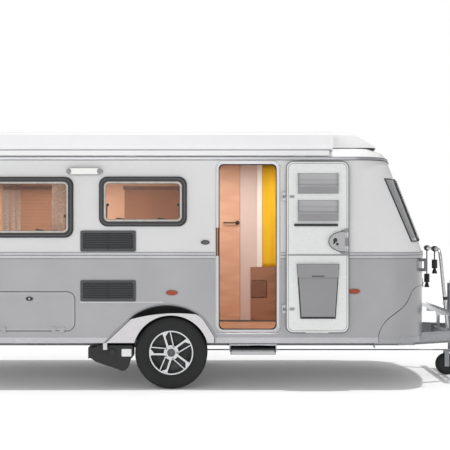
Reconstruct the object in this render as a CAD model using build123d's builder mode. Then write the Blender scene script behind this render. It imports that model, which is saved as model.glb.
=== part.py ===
from math import cos, radians, sin

from build123d import *
import os

os.makedirs("parts", exist_ok=True)

# A compact travel caravan with a pop-top roof, standing on its jockey wheel.
# +X runs forward to the coupling, -Y is the door side, Z = 0 is the ground.
# X is measured from the middle of the overall length.

# Driving dimensions of the body, millimetres
axle_x = -560.0
front_x = 1760.0
rear_x = -2980.0
half_width = 1050.0
corner_r = 300.0
corner_turn = 75.0
wall = 30.0
skirt_z = 411.0
sill_rail_top = 460.0
belt_low = 1147.0
belt_high = 1195.0
roof_rail_low = 2000.0
roof_rail_high = 2030.0
front_rake = 318.0
rear_rake = 120.0
floor_top = 500.0
joint_gap = 2.0
seam_gap = 5.0
overrun = 60.0

# Rails that cover the joints between the wall panels
belt_proud = 8.0
sill_proud = 5.0
roof_rail_proud = 10.0

# Wheel and its arch, places measured from the axle
tyre_r = 318.0
tyre_width = 190.0
tyre_outer_y = 1000.0
tyre_bead_r = 196.0
arch_foot_rear = 590.0
arch_knee_rear = 330.0
arch_knee_rear_z = 655.0
arch_top_z = 745.0
arch_knee_front = 290.0
arch_knee_front_z = 630.0
arch_foot_front = 395.0
arch_foot_front_z = 470.0
fender_inner_r = 332.0
fender_crown = 668.0
fender_tip_rear = 380.0
fender_tip_rear_z = 608.0
fender_tip_front = 258.0
fender_tip_front_z = 654.0
fender_skin = 6.0
fender_recess = 4.0

# Doorway and the door that folds flat against the wall ahead of it
door_hinge_x = 410.0
door_hinge_out = 15.0
door_hinge_back = 27.0
door_width = 548.0
door_low = 502.0
door_high = 1990.0
door_thick = 30.0
door_gap = 6.0
door_corner_r = 62.0
jamb_width = 26.0
jamb_depth = 24.0

# Windows of the side walls
kitchen_window_rear = -1180.0
kitchen_window_front = -424.0
kitchen_window_low = 1428.0
kitchen_window_high = 1854.0
rear_window_rear = -2440.0
rear_window_front = -1411.0
rear_window_low = 1330.0
rear_window_high = 1852.0
seat_window_rear = 420.0
seat_window_front = 1050.0
window_corner_r = 70.0
window_rubber = 34.0
rubber_proud = 14.0
pane_thick = 8.0
pane_lap = 12.0
end_window_half = 800.0
end_window_low = 1290.0
end_window_high = 1850.0
end_window_corner_r = 90.0

# Gas locker lid at the foot of the front, its seam as stations and heights
lid_seam_foot_x = 1242.0
lid_seam_low_x = 1320.0
lid_seam_low_z = 610.0
lid_seam_mid_x = 1509.0
lid_seam_mid_z = 778.0
lid_seam_top_x = 1640.0
lid_seam_top_z = 899.0
drawbar_notch_half = 690.0
drawbar_notch_z = 486.0

# Places derived from the sizes above
side_y = half_width - wall
corner_reach = corner_r * sin(radians(corner_turn))
corner_rise = corner_r * (1 - cos(radians(corner_turn)))
bow_half = half_width - corner_rise
bow_r = bow_half / cos(radians(corner_turn))
bow_depth = bow_r * (1 - sin(radians(corner_turn)))
end_depth = corner_reach + bow_depth
side_front_x = front_x - end_depth
side_rear_x = rear_x + end_depth
door_pivot_y = half_width + door_hinge_out
doorway_front = door_hinge_x - door_hinge_back
doorway_rear = doorway_front - door_width


def body_plan(inset, front, rear):
    """Plan of the body: straight sides, round corners and bowed ends, drawn inset from the outside."""
    half = half_width - inset
    turn_r = corner_r - inset
    nose = front - inset
    tail = rear + inset
    reach = turn_r * sin(radians(corner_turn))
    rise = turn_r * (1 - cos(radians(corner_turn)))
    half_turn = radians(corner_turn / 2)
    bend_x = turn_r * sin(half_turn)
    bend_y = half - turn_r * (1 - cos(half_turn))
    side_nose = front - end_depth
    side_tail = rear + end_depth
    with BuildSketch() as plan:
        with BuildLine():
            Line((side_tail, -half), (side_nose, -half))
            ThreePointArc((side_nose, -half), (side_nose + bend_x, -bend_y), (side_nose + reach, rise - half))
            ThreePointArc((side_nose + reach, rise - half), (nose, 0), (side_nose + reach, half - rise))
            ThreePointArc((side_nose + reach, half - rise), (side_nose + bend_x, bend_y), (side_nose, half))
            Line((side_nose, half), (side_tail, half))
            ThreePointArc((side_tail, half), (side_tail - bend_x, bend_y), (side_tail - reach, half - rise))
            ThreePointArc((side_tail - reach, half - rise), (tail, 0), (side_tail - reach, rise - half))
            ThreePointArc((side_tail - reach, rise - half), (side_tail - bend_x, -bend_y), (side_tail, -half))
        make_face()
    return plan.sketch


def ring_band(outside, inside, low, high):
    """Upright band of the lower body between two insets, from one height to another."""
    with BuildPart() as band:
        with BuildSketch(Plane.XY.offset(low)):
            add(body_plan(outside, front_x, rear_x))
        extrude(amount=high - low)
        with BuildSketch(Plane.XY.offset(low)):
            add(body_plan(inside, front_x, rear_x))
        extrude(amount=high - low, mode=Mode.SUBTRACT)
    return band.part


def raked_solid(inset, low, high):
    """The upper body as a solid, its ends leaning in evenly from the belt to the roof rail."""
    lean_low = (low - belt_high) / (roof_rail_low - belt_high)
    lean_high = (high - belt_high) / (roof_rail_low - belt_high)
    with BuildPart() as solid:
        with BuildSketch(Plane.XY.offset(low)):
            add(body_plan(inset, front_x - front_rake * lean_low, rear_x + rear_rake * lean_low))
        with BuildSketch(Plane.XY.offset(high)):
            add(body_plan(inset, front_x - front_rake * lean_high, rear_x + rear_rake * lean_high))
        loft(ruled=True)
    return solid.part


def raked_band(outside, inside, low, high):
    """Shell of the upper body between two insets."""
    with BuildPart() as band:
        add(raked_solid(outside, low, high))
        add(raked_solid(inside, low, high), mode=Mode.SUBTRACT)
    return band.part


def block(x_low, x_high, y_low, y_high, z_low, z_high, mode=Mode.ADD):
    """A box given by its limits along each axis."""
    middle = ((x_low + x_high) / 2, (y_low + y_high) / 2, (z_low + z_high) / 2)
    with Locations(middle):
        Box(x_high - x_low, y_high - y_low, z_high - z_low, mode=mode)


def side_slab(x_low, x_high, z_low, z_high, y_low, y_high, radius, mode=Mode.ADD):
    """A round-cornered rectangle in the side view, run across from one Y to another."""
    with BuildSketch(Plane.XZ.offset(-y_high), mode=Mode.PRIVATE) as outline:
        with Locations(((x_low + x_high) / 2, (z_low + z_high) / 2)):
            RectangleRounded(x_high - x_low, z_high - z_low, radius)
    extrude(outline.sketch, amount=y_high - y_low, mode=mode)


def end_slab(half, z_low, z_high, x_low, x_high, radius, mode=Mode.ADD):
    """A round-cornered rectangle in the front view, run along from one X to another."""
    with BuildSketch(Plane.YZ.offset(x_low), mode=Mode.PRIVATE) as outline:
        with Locations((0, (z_low + z_high) / 2)):
            RectangleRounded(half + half, z_high - z_low, radius)
    extrude(outline.sketch, amount=x_high - x_low, mode=mode)


def side_region(points, y_low, y_high):
    """A solid with a straight-edged side view, run across from one Y to another."""
    with BuildPart() as solid:
        with BuildSketch(Plane.XZ.offset(-y_high)):
            with BuildLine():
                Polyline(*points, close=True)
            make_face()
        extrude(amount=y_high - y_low)
    return solid.part


def arch_sketch(grow):
    """Side view of the wheel arch, grown all round by a margin."""
    rear_foot = (axle_x - arch_foot_rear, skirt_z)
    rear_knee = (axle_x - arch_knee_rear, arch_knee_rear_z)
    front_knee = (axle_x + arch_knee_front, arch_knee_front_z)
    front_foot = (axle_x + arch_foot_front, arch_foot_front_z)
    with BuildSketch() as arch:
        with BuildLine():
            Line(rear_foot, rear_knee)
            ThreePointArc(rear_knee, (axle_x, arch_top_z), front_knee)
            Polyline(front_knee, front_foot, (front_foot[0], skirt_z - overrun))
            Polyline((front_foot[0], skirt_z - overrun), (rear_foot[0], skirt_z - overrun), rear_foot)
        make_face()
        if grow:
            offset(amount=grow, kind=Kind.INTERSECTION)
    return arch.sketch


def arch_solid(grow, y_low, y_high):
    """The wheel arch's side view run across from one Y to another."""
    with BuildPart() as solid:
        with BuildSketch(Plane.XZ.offset(-y_high)):
            add(arch_sketch(grow))
        extrude(amount=y_high - y_low)
    return solid.part


def lid_zone(grow):
    """Everything ahead of and below the gas locker lid's curved seam."""
    with BuildPart() as solid:
        with BuildSketch(Plane.XZ.offset(-half_width - overrun)):
            with BuildLine():
                Spline(
                    (lid_seam_foot_x - grow, skirt_z),
                    (lid_seam_low_x - grow, lid_seam_low_z + grow),
                    (lid_seam_mid_x - grow, lid_seam_mid_z + grow),
                    (lid_seam_top_x, lid_seam_top_z + grow),
                    tangents=((0, 1), (1, 0)),
                )
                Polyline(
                    (lid_seam_top_x, lid_seam_top_z + grow),
                    (front_x + overrun, lid_seam_top_z + grow),
                    (front_x + overrun, skirt_z - overrun),
                    (lid_seam_foot_x - grow, skirt_z - overrun),
                    (lid_seam_foot_x - grow, skirt_z),
                )
            make_face()
        extrude(amount=half_width + half_width + overrun + overrun)
    return solid.part


# Zones that share out the shells between the side walls and the ends
far = half_width + overrun
upper_side_points = [
    (side_rear_x, belt_high),
    (side_front_x, belt_high),
    (side_front_x - front_rake, roof_rail_low),
    (side_rear_x + rear_rake, roof_rail_low),
]
upper_rear_points = [
    (rear_x - overrun, belt_high),
    (side_rear_x, belt_high),
    (side_rear_x + rear_rake, roof_rail_low),
    (rear_x - overrun, roof_rail_low),
]
upper_front_points = [
    (side_front_x, belt_high),
    (front_x + overrun, belt_high),
    (front_x + overrun, roof_rail_low),
    (side_front_x - front_rake, roof_rail_low),
]
upper_shell = raked_band(0, wall, belt_high, roof_rail_low)
lower_shell = ring_band(0, wall, sill_rail_top, belt_low)
sill_shell = ring_band(-sill_proud, wall, skirt_z, sill_rail_top)
lid_cut = lid_zone(joint_gap)
lid_body = lid_zone(-joint_gap)

# Upper side walls, with the doorway on the door side and the window holes
door_seat = door_gap
doorway = (doorway_rear - door_seat, doorway_front + door_seat, door_low - door_seat, door_high + door_seat)
vent_rear = -1346.0
vent_front = -863.0
vent_corner_r = 14.0
vent_frame = 22.0
upper_vent_low = 1205.0
upper_vent_high = 1389.0
lower_vent_low = 773.0
lower_vent_high = 959.0
flap_rear = -2193.0
flap_front = -1394.0
flap_low = 515.0
flap_high = 857.0
flap_corner_r = 70.0

window_places = {
    "kitchen": (-1, kitchen_window_rear, kitchen_window_front, kitchen_window_low, kitchen_window_high),
    "rear_near": (-1, rear_window_rear, rear_window_front, rear_window_low, rear_window_high),
    "rear_far": (1, rear_window_rear, rear_window_front, rear_window_low, rear_window_high),
    "middle_far": (1, kitchen_window_rear, kitchen_window_front, kitchen_window_low, kitchen_window_high),
    "seat_far": (1, seat_window_rear, seat_window_front, kitchen_window_low, kitchen_window_high),
}


def cut_window_holes(side):
    """Holes for the windows of one side wall, a rubber's width inside each frame."""
    for window_side, rear, front, low, high in window_places.values():
        if window_side == side:
            y_mid = side * (half_width - wall / 2)
            side_slab(
                rear + window_rubber,
                front - window_rubber,
                low + window_rubber,
                high - window_rubber,
                y_mid - wall,
                y_mid + wall,
                window_corner_r - window_rubber,
                mode=Mode.SUBTRACT,
            )


def cut_vent_holes():
    """Holes behind the two louvred grilles of the door side."""
    for low, high in ((upper_vent_low, upper_vent_high), (lower_vent_low, lower_vent_high)):
        side_slab(
            vent_rear + vent_frame,
            vent_front - vent_frame,
            low + vent_frame,
            high - vent_frame,
            -far,
            overrun - half_width,
            vent_corner_r,
            mode=Mode.SUBTRACT,
        )


def cut_doorway():
    """The doorway, through the wall and the rails that it crosses."""
    side_slab(*doorway, -far, overrun - half_width, door_corner_r + door_gap, mode=Mode.SUBTRACT)


with BuildPart() as upper_wall_near:
    add(upper_shell)
    add(side_region(upper_side_points, -far, -side_y), mode=Mode.INTERSECT)
    cut_window_holes(-1)
    cut_vent_holes()
    cut_doorway()
upper_wall_near.part.label = "upper_wall_near"
export_step(upper_wall_near.part, "parts/upper_wall_near.step")

with BuildPart() as upper_wall_far:
    add(upper_shell)
    add(side_region(upper_side_points, side_y, far), mode=Mode.INTERSECT)
    cut_window_holes(1)
upper_wall_far.part.label = "upper_wall_far"
export_step(upper_wall_far.part, "parts/upper_wall_far.step")

# Raked ends of the upper body, each with one wide window hole
for end_name, end_points, x_low, x_high in (
    ("upper_wall_front", upper_front_points, 0, front_x + overrun),
    ("upper_wall_rear", upper_rear_points, rear_x - overrun, 0),
):
    with BuildPart() as end_wall:
        add(upper_shell)
        add(side_region(end_points, -far, far), mode=Mode.INTERSECT)
        end_slab(
            end_window_half - window_rubber,
            end_window_low + window_rubber,
            end_window_high - window_rubber,
            x_low,
            x_high,
            end_window_corner_r - window_rubber,
            mode=Mode.SUBTRACT,
        )
    end_wall.part.label = end_name
    export_step(end_wall.part, f"parts/{end_name}.step")

# Lower side walls, cut for the doorway, the wheel arches, the grille and the service flap
with BuildPart() as lower_wall_near:
    add(lower_shell)
    block(side_rear_x, side_front_x, -far, -side_y, sill_rail_top, belt_low, mode=Mode.INTERSECT)
    add(arch_solid(0, -far, overrun - half_width), mode=Mode.SUBTRACT)
    add(lid_cut, mode=Mode.SUBTRACT)
    cut_vent_holes()
    cut_doorway()
    side_slab(
        flap_rear, flap_front, flap_low, flap_high, -far, overrun - half_width, flap_corner_r, mode=Mode.SUBTRACT
    )
lower_wall_near.part.label = "lower_wall_near"
export_step(lower_wall_near.part, "parts/lower_wall_near.step")

with BuildPart() as lower_wall_far:
    add(lower_shell)
    block(side_rear_x, side_front_x, side_y, far, sill_rail_top, belt_low, mode=Mode.INTERSECT)
    add(arch_solid(0, half_width - overrun, far), mode=Mode.SUBTRACT)
    add(lid_cut, mode=Mode.SUBTRACT)
lower_wall_far.part.label = "lower_wall_far"
export_step(lower_wall_far.part, "parts/lower_wall_far.step")

with BuildPart() as lower_wall_front:
    add(lower_shell)
    block(side_front_x, front_x + overrun, -far, far, sill_rail_top, belt_low, mode=Mode.INTERSECT)
    add(lid_cut, mode=Mode.SUBTRACT)
lower_wall_front.part.label = "lower_wall_front"
export_step(lower_wall_front.part, "parts/lower_wall_front.step")

with BuildPart() as lower_wall_rear:
    add(lower_shell)
    block(rear_x - overrun, side_rear_x, -far, far, sill_rail_top, belt_low, mode=Mode.INTERSECT)
lower_wall_rear.part.label = "lower_wall_rear"
export_step(lower_wall_rear.part, "parts/lower_wall_rear.step")

# Gas locker lid: the moulded foot of the front, round both corners, notched over the drawbar
with BuildPart() as lid_moulding:
    add(lower_shell)
    add(sill_shell)
    add(lid_body, mode=Mode.INTERSECT)
    block(
        lid_seam_foot_x,
        front_x + overrun,
        -drawbar_notch_half,
        drawbar_notch_half,
        skirt_z - overrun,
        drawbar_notch_z,
        mode=Mode.SUBTRACT,
    )

# Rails round the body at the sill, the belt and the foot of the roof
with BuildPart() as body_rails:
    add(sill_shell)
    add(lid_cut, mode=Mode.SUBTRACT)
    for y_low, y_high in ((-far, overrun - half_width), (half_width - overrun, far)):
        add(arch_solid(0, y_low, y_high), mode=Mode.SUBTRACT)
    add(ring_band(-belt_proud, wall, belt_low, belt_high))
    cut_doorway()
    add(raked_band(-roof_rail_proud, wall, roof_rail_low, roof_rail_high))
body_rails.part.label = "body_rails"
export_step(body_rails.part, "parts/body_rails.step")

# Fixed roof: a shell that curves in above the rail, open under the lifting lid
roof_mid_z = 2074.0
roof_mid_inset = 32.0
roof_top_z = 2108.0
roof_top_inset = 120.0
roof_skin = 24.0
hatch_rear_x = -1760.0
hatch_front_x = 340.0
hatch_half = 650.0
hatch_corner_r = 90.0
rake_rate = front_rake / (roof_rail_low - belt_high)
rear_rate = rear_rake / (roof_rail_low - belt_high)
roof_nose = front_x - rake_rate * (roof_rail_high - belt_high)
roof_tail = rear_x + rear_rate * (roof_rail_high - belt_high)


def roof_solid(sink):
    """The fixed roof as a solid, sunk inwards by a skin's thickness."""
    with BuildPart() as solid:
        for height, inset in (
            (roof_rail_high, sink),
            (roof_mid_z - sink / 2, roof_mid_inset + sink),
            (roof_top_z - sink, roof_top_inset + sink),
        ):
            with BuildSketch(Plane.XY.offset(height)):
                add(body_plan(inset, roof_nose, roof_tail))
        loft(ruled=True)
    return solid.part


hatch_mid_x = (hatch_rear_x + hatch_front_x) / 2
hatch_length = hatch_front_x - hatch_rear_x
roof_outside = roof_solid(0)
with BuildPart() as roof_shell:
    add(roof_outside)
    add(roof_solid(roof_skin), mode=Mode.SUBTRACT)
    with BuildSketch(Plane.XY.offset(roof_rail_high)):
        with Locations((hatch_mid_x, 0)):
            RectangleRounded(hatch_length, hatch_half + hatch_half, hatch_corner_r)
    extrude(amount=far, mode=Mode.SUBTRACT)
roof_shell.part.label = "roof_shell"
export_step(roof_shell.part, "parts/roof_shell.step")

# Rubber seal on the fixed roof, where the lid comes down
lid_front_x = 1262.0
lid_rear_x = -2650.0
lid_half = 870.0
lid_corner_r = 120.0
lid_high = 2258.0
lid_skin = 20.0
lid_edge_r = 42.0
lid_brow_x = 1110.0
lid_brow_z = 2206.0
lid_flat_front_x = 1000.0
lid_flat_rear_x = -2520.0
lid_tail_x = -2610.0
lid_tail_z = 2215.0
seal_height = 12.0
rest_gap = 0.3
lid_low = roof_top_z + seal_height + rest_gap
lid_mid_x = (lid_front_x + lid_rear_x) / 2
lid_length = lid_front_x - lid_rear_x
seal_inset = 8.0
seal_width = 30.0
with BuildPart() as seal_ring:
    with BuildSketch(Plane.XY.offset(roof_top_z)):
        with Locations((lid_mid_x, 0)):
            RectangleRounded(
                lid_length - seal_inset * 2, (lid_half - seal_inset) * 2, lid_corner_r - seal_inset
            )
            RectangleRounded(
                lid_length - (seal_inset + seal_width) * 2,
                (lid_half - seal_inset - seal_width) * 2,
                lid_corner_r - seal_inset - seal_width,
                mode=Mode.SUBTRACT,
            )
    extrude(amount=seal_height)


def lid_solid(sink):
    """The lifting roof lid as a solid: a round-cornered plan under a sloping profile, sunk by a skin."""
    with BuildPart() as solid:
        with BuildSketch(Plane.XY.offset(lid_low)):
            with Locations((lid_mid_x, 0)):
                RectangleRounded(lid_length - sink * 2, (lid_half - sink) * 2, lid_corner_r - sink)
        extrude(amount=lid_high - lid_low - sink)
        with BuildSketch(Plane.XZ.offset(-far)):
            with BuildLine():
                Polyline(
                    (lid_front_x - sink, lid_low),
                    (lid_brow_x, lid_brow_z - sink),
                    (lid_flat_front_x, lid_high - sink),
                    (lid_flat_rear_x, lid_high - sink),
                    (lid_tail_x, lid_tail_z - sink),
                    (lid_rear_x + sink, lid_low),
                    close=True,
                )
            make_face()
        extrude(amount=far + far, mode=Mode.INTERSECT)
        with BuildSketch(Plane.YZ.offset(lid_rear_x)):
            with Locations((0, (lid_high - sink) / 2)):
                RectangleRounded((lid_half - sink) * 2, lid_high - sink, lid_edge_r)
        extrude(amount=lid_length, mode=Mode.INTERSECT)
    return solid.part


with BuildPart() as roof_lid:
    add(lid_solid(0))
    add(lid_solid(lid_skin), mode=Mode.SUBTRACT)
roof_lid.part.label = "roof_lid"
export_step(roof_lid.part, "parts/roof_lid.step")

# Fabric wall round the hatch, folded low while the lid is down
bellows_margin = 14.0
bellows_cloth = 6.0
bellows_top_gap = 4.0
bellows_high = lid_high - lid_skin - bellows_top_gap
with BuildPart() as roof_bellows:
    with BuildSketch(Plane.XY.offset(roof_top_z)):
        with Locations((hatch_mid_x, 0)):
            for grow, mode in ((bellows_margin + bellows_cloth, Mode.ADD), (bellows_margin, Mode.SUBTRACT)):
                RectangleRounded(
                    hatch_length + grow * 2, (hatch_half + grow) * 2, hatch_corner_r + grow, mode=mode
                )
    extrude(amount=bellows_high - roof_top_z)
roof_bellows.part.label = "roof_bellows"
export_step(roof_bellows.part, "parts/roof_bellows.step")

# Floor and the boxes over the wheels
floor_front = 1244.0
wheel_box_skin = 10.0
wheel_box_y = 750.0
with BuildPart() as floor_panel:
    with BuildSketch(Plane.XY.offset(sill_rail_top)):
        add(body_plan(wall, front_x, rear_x))
    extrude(amount=floor_top - sill_rail_top)
    for y_low, y_high in ((-far, -wheel_box_y), (wheel_box_y, far)):
        add(arch_solid(wheel_box_skin, y_low, y_high), mode=Mode.SUBTRACT)
    add(lid_cut, mode=Mode.SUBTRACT)
    block(floor_front, front_x, -far, far, 0, far, mode=Mode.SUBTRACT)
floor_panel.part.label = "floor_panel"
export_step(floor_panel.part, "parts/floor_panel.step")

with BuildPart() as wheel_boxes:
    for y_low, y_high, skin_low, skin_high in (
        (-side_y, -wheel_box_y, -side_y, -wheel_box_y - wheel_box_skin),
        (wheel_box_y, side_y, wheel_box_y + wheel_box_skin, side_y),
    ):
        add(arch_solid(wheel_box_skin, y_low, y_high))
        add(arch_solid(0, skin_low, skin_high), mode=Mode.SUBTRACT)
    block(rear_x, front_x, -far, far, 0, skirt_z, mode=Mode.SUBTRACT)

# Tub behind the gas locker lid, open to the front
tub_rear = 1250.0
tub_front = 1620.0
tub_half = 690.0
tub_skin = 8.0
tub_high = 892.0
with BuildPart() as locker_tub:
    block(tub_rear, tub_front, -tub_half, tub_half, sill_rail_top, tub_high)
    block(
        tub_rear + tub_skin,
        tub_front + tub_skin,
        tub_skin - tub_half,
        tub_half - tub_skin,
        sill_rail_top + tub_skin,
        tub_high - tub_skin,
        mode=Mode.SUBTRACT,
    )

with BuildPart() as floor_boxes:
    add(wheel_boxes.part)
    add(locker_tub.part)
floor_boxes.part.label = "floor_boxes"
export_step(floor_boxes.part, "parts/floor_boxes.step")

# Fenders: moulded inserts in the arches, their free top edge low over the tyre
axle_z = tyre_r
rear_tip = (axle_x - fender_tip_rear, fender_tip_rear_z)
front_tip = (axle_x + fender_tip_front, fender_tip_front_z)
with BuildPart() as fenders:
    for outer_y in (-half_width + fender_recess, half_width - fender_recess - fender_skin):
        with BuildSketch(Plane.XZ.offset(-outer_y - fender_skin)):
            add(arch_sketch(0))
            with Locations((axle_x, skirt_z - overrun)):
                Rectangle(far, overrun * 2, mode=Mode.SUBTRACT)
            with Locations((axle_x, axle_z)):
                Circle(fender_inner_r, mode=Mode.SUBTRACT)
            with BuildLine():
                ThreePointArc(rear_tip, (axle_x, fender_crown), front_tip)
                Polyline(front_tip, (front_tip[0], front_tip[1] + far), (rear_tip[0], rear_tip[1] + far), rear_tip)
            make_face(mode=Mode.SUBTRACT)
        extrude(amount=fender_skin)
fenders.part.label = "fenders"
export_step(fenders.part, "parts/fenders.step")

# Windows: rubber frames on the walls and clear panes seated on them
window_ends = ((0, front_x + overrun), (rear_x - overrun, 0))


def end_window(outside, inside, shrink, x_low, x_high):
    """The layer of an end window between two insets, following the bowed and leaning wall."""
    with BuildPart() as layer:
        add(raked_band(outside, inside, end_window_low, end_window_high))
        end_slab(
            end_window_half - shrink,
            end_window_low + shrink,
            end_window_high - shrink,
            x_low,
            x_high,
            end_window_corner_r - shrink,
            mode=Mode.INTERSECT,
        )
    return layer.part


with BuildPart() as window_rubbers:
    for side, rear, front, low, high in window_places.values():
        y_low = min(side * half_width, side * (half_width + rubber_proud))
        y_high = max(side * half_width, side * (half_width + rubber_proud))
        side_slab(rear, front, low, high, y_low, y_high, window_corner_r)
        inner_r = window_corner_r - window_rubber
        side_slab(
            rear + window_rubber,
            front - window_rubber,
            low + window_rubber,
            high - window_rubber,
            y_low,
            y_high,
            inner_r,
            mode=Mode.SUBTRACT,
        )
    for x_low, x_high in window_ends:
        with BuildPart(mode=Mode.PRIVATE) as end_rubber:
            add(end_window(-rubber_proud, 0, 0, x_low, x_high))
            add(end_window(-rubber_proud, 0, window_rubber, x_low, x_high), mode=Mode.SUBTRACT)
        add(end_rubber.part)
    add(seal_ring.part)
window_rubbers.part.label = "window_rubbers"
export_step(window_rubbers.part, "parts/window_rubbers.step")

with BuildPart() as window_panes:
    for side, rear, front, low, high in window_places.values():
        pane_low = half_width + rubber_proud
        y_low = min(side * pane_low, side * (pane_low + pane_thick))
        y_high = max(side * pane_low, side * (pane_low + pane_thick))
        side_slab(
            rear + pane_lap,
            front - pane_lap,
            low + pane_lap,
            high - pane_lap,
            y_low,
            y_high,
            window_corner_r - pane_lap,
        )
    for x_low, x_high in window_ends:
        add(end_window(-rubber_proud - pane_thick, -rubber_proud, pane_lap, x_low, x_high))
window_panes.part.label = "window_panes"
export_step(window_panes.part, "parts/window_panes.step")

# Louvred grilles, a frame with sloping slats each, and the black oval inlet ahead of them
louvre_count = 9
louvre_rise = 12.0
louvre_thick = 3.0
grille_proud = 7.0
louvre_back = 1.0
grille_hole_r = 5.0
grille_rim = 16.0
inlet_x = -261.0
inlet_z = 1286.0
inlet_half_length = 39.0
inlet_half_height = 20.0
inlet_proud = 9.0
with BuildPart() as wall_vents:
    for low, high in ((upper_vent_low, upper_vent_high), (lower_vent_low, lower_vent_high)):
        side_slab(vent_rear, vent_front, low, high, -half_width - grille_proud, -half_width, vent_corner_r)
        side_slab(
            vent_rear + vent_frame,
            vent_front - vent_frame,
            low + vent_frame,
            high - vent_frame,
            -half_width - grille_proud,
            -half_width,
            grille_hole_r,
            mode=Mode.SUBTRACT,
        )
        louvre_face = louvre_back - half_width - grille_proud
        pitch = (high - low - vent_frame * 2) / louvre_count
        for step in range(louvre_count):
            slat_z = low + vent_frame + louvre_back + pitch * step
            with BuildSketch(Plane.YZ.offset(vent_rear + grille_rim)) as slat:
                with BuildLine():
                    Polyline(
                        (louvre_face, slat_z),
                        (louvre_face, slat_z + louvre_thick),
                        (-half_width, slat_z + louvre_rise),
                        (-half_width, slat_z + louvre_rise - louvre_thick),
                        close=True,
                    )
                make_face()
            extrude(amount=vent_front - vent_rear - grille_rim * 2)
    with BuildSketch(Plane.XZ.offset(half_width)):
        with Locations((inlet_x, inlet_z)):
            Ellipse(inlet_half_length, inlet_half_height)
    extrude(amount=inlet_proud)
wall_vents.part.label = "wall_vents"
export_step(wall_vents.part, "parts/wall_vents.step")

# Amber side markers, two on each side
marker_half_length = 50.0
marker_half_height = 21.0
marker_proud = 14.0
marker_edge = 5.0
marker_places = ((-552.0, 848.0), (1034.0, 860.0))
with BuildPart() as side_markers:
    for start_y, direction in ((-half_width, 1), (half_width, -1)):
        with BuildSketch(Plane.XZ.offset(-start_y)) as lens:
            with Locations(*marker_places):
                Ellipse(marker_half_length, marker_half_height)
        extrude(amount=marker_proud * direction)
    fillet(side_markers.faces().filter_by(Axis.Y).group_by(Axis.Y)[0].edges(), marker_edge)
    fillet(side_markers.faces().filter_by(Axis.Y).group_by(Axis.Y)[-1].edges(), marker_edge)
side_markers.part.label = "side_markers"
export_step(side_markers.part, "parts/side_markers.step")

# Awning lamp: a lens between two end caps
lamp_rear = -1460.0
lamp_front = -1157.0
lamp_low = 1880.0
lamp_high = 1925.0
lamp_proud = 42.0
lamp_cap = 26.0
lamp_step = 4.0
lamp_edge = 9.0
with BuildPart() as awning_lamp:
    side_slab(lamp_rear, lamp_front, lamp_low, lamp_high, -half_width - lamp_proud, -half_width, lamp_edge)
    side_slab(
        lamp_rear + lamp_cap,
        lamp_front - lamp_cap,
        lamp_low - lamp_step,
        lamp_high + lamp_step,
        -half_width - lamp_proud - lamp_step,
        -half_width,
        lamp_edge,
    )
awning_lamp.part.label = "awning_lamp"
export_step(awning_lamp.part, "parts/awning_lamp.step")

# Awning case on the door side of the roof, on brackets that follow the roof's curve
case_rear = -2655.0
case_front = 845.0
case_above_rail = 59.0
case_height = 154.0
case_proud = 62.0
case_inset = 90.0
case_r = 46.0
case_cap = 24.0
case_cap_grow = 3.0
case_bar = 10.0
case_bar_foot = 43.0
case_bar_height = 72.0
case_low = roof_rail_high + case_above_rail
case_high = case_low + case_height
case_out = half_width + case_proud
case_in = half_width - case_inset
case_bar_low = case_low + case_bar_foot
case_bar_high = case_bar_low + case_bar_height
bracket_width = 90.0
bracket_low = 2040.0
bracket_shares = (0.08, 0.5, 0.92)
case_mid = (-(case_out + case_in) / 2, (case_low + case_high) / 2)
with BuildPart() as case_brackets:
    for share in bracket_shares:
        bracket_x = case_rear + (case_front - case_rear) * share
        block(
            bracket_x - bracket_width / 2,
            bracket_x + bracket_width / 2,
            -case_out + case_r,
            -case_in - case_r / 2,
            bracket_low,
            case_low,
        )
    add(roof_outside, mode=Mode.SUBTRACT)

with BuildPart() as awning_case:
    with BuildSketch(Plane.YZ.offset(case_rear)):
        with Locations(case_mid):
            RectangleRounded(case_out - case_in, case_high - case_low, case_r)
    extrude(amount=case_front - case_rear)
    block(
        case_rear + case_cap,
        case_front - case_cap,
        -case_out - case_cap_grow,
        -case_out + case_bar,
        case_bar_low,
        case_bar_high,
    )
    for cap_x in (case_rear, case_front - case_cap):
        with BuildSketch(Plane.YZ.offset(cap_x)):
            with Locations(case_mid):
                RectangleRounded(
                    case_out - case_in + case_cap_grow * 2,
                    case_high - case_low + case_cap_grow * 2,
                    case_r + case_cap_grow,
                )
        extrude(amount=case_cap)
    add(case_brackets.part)
awning_case.part.label = "awning_case"
export_step(awning_case.part, "parts/awning_case.step")


def rod_x(x_low, x_high, y, z, radius, mode=Mode.ADD):
    """A round bar along X."""
    with BuildSketch(Plane.YZ.offset(x_low), mode=Mode.PRIVATE) as disc:
        with Locations((y, z)):
            Circle(radius)
    extrude(disc.sketch, amount=x_high - x_low, mode=mode)


def rod_y(x, z, y_low, y_high, radius, mode=Mode.ADD):
    """A round bar along Y."""
    with BuildSketch(Plane.XZ.offset(-y_high), mode=Mode.PRIVATE) as disc:
        with Locations((x, z)):
            Circle(radius)
    extrude(disc.sketch, amount=y_high - y_low, mode=mode)


def rod_z(x, y, z_low, z_high, radius, mode=Mode.ADD):
    """A round bar along Z."""
    with BuildSketch(Plane.XY.offset(z_low), mode=Mode.PRIVATE) as disc:
        with Locations((x, y)):
            Circle(radius)
    extrude(disc.sketch, amount=z_high - z_low, mode=mode)


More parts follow.
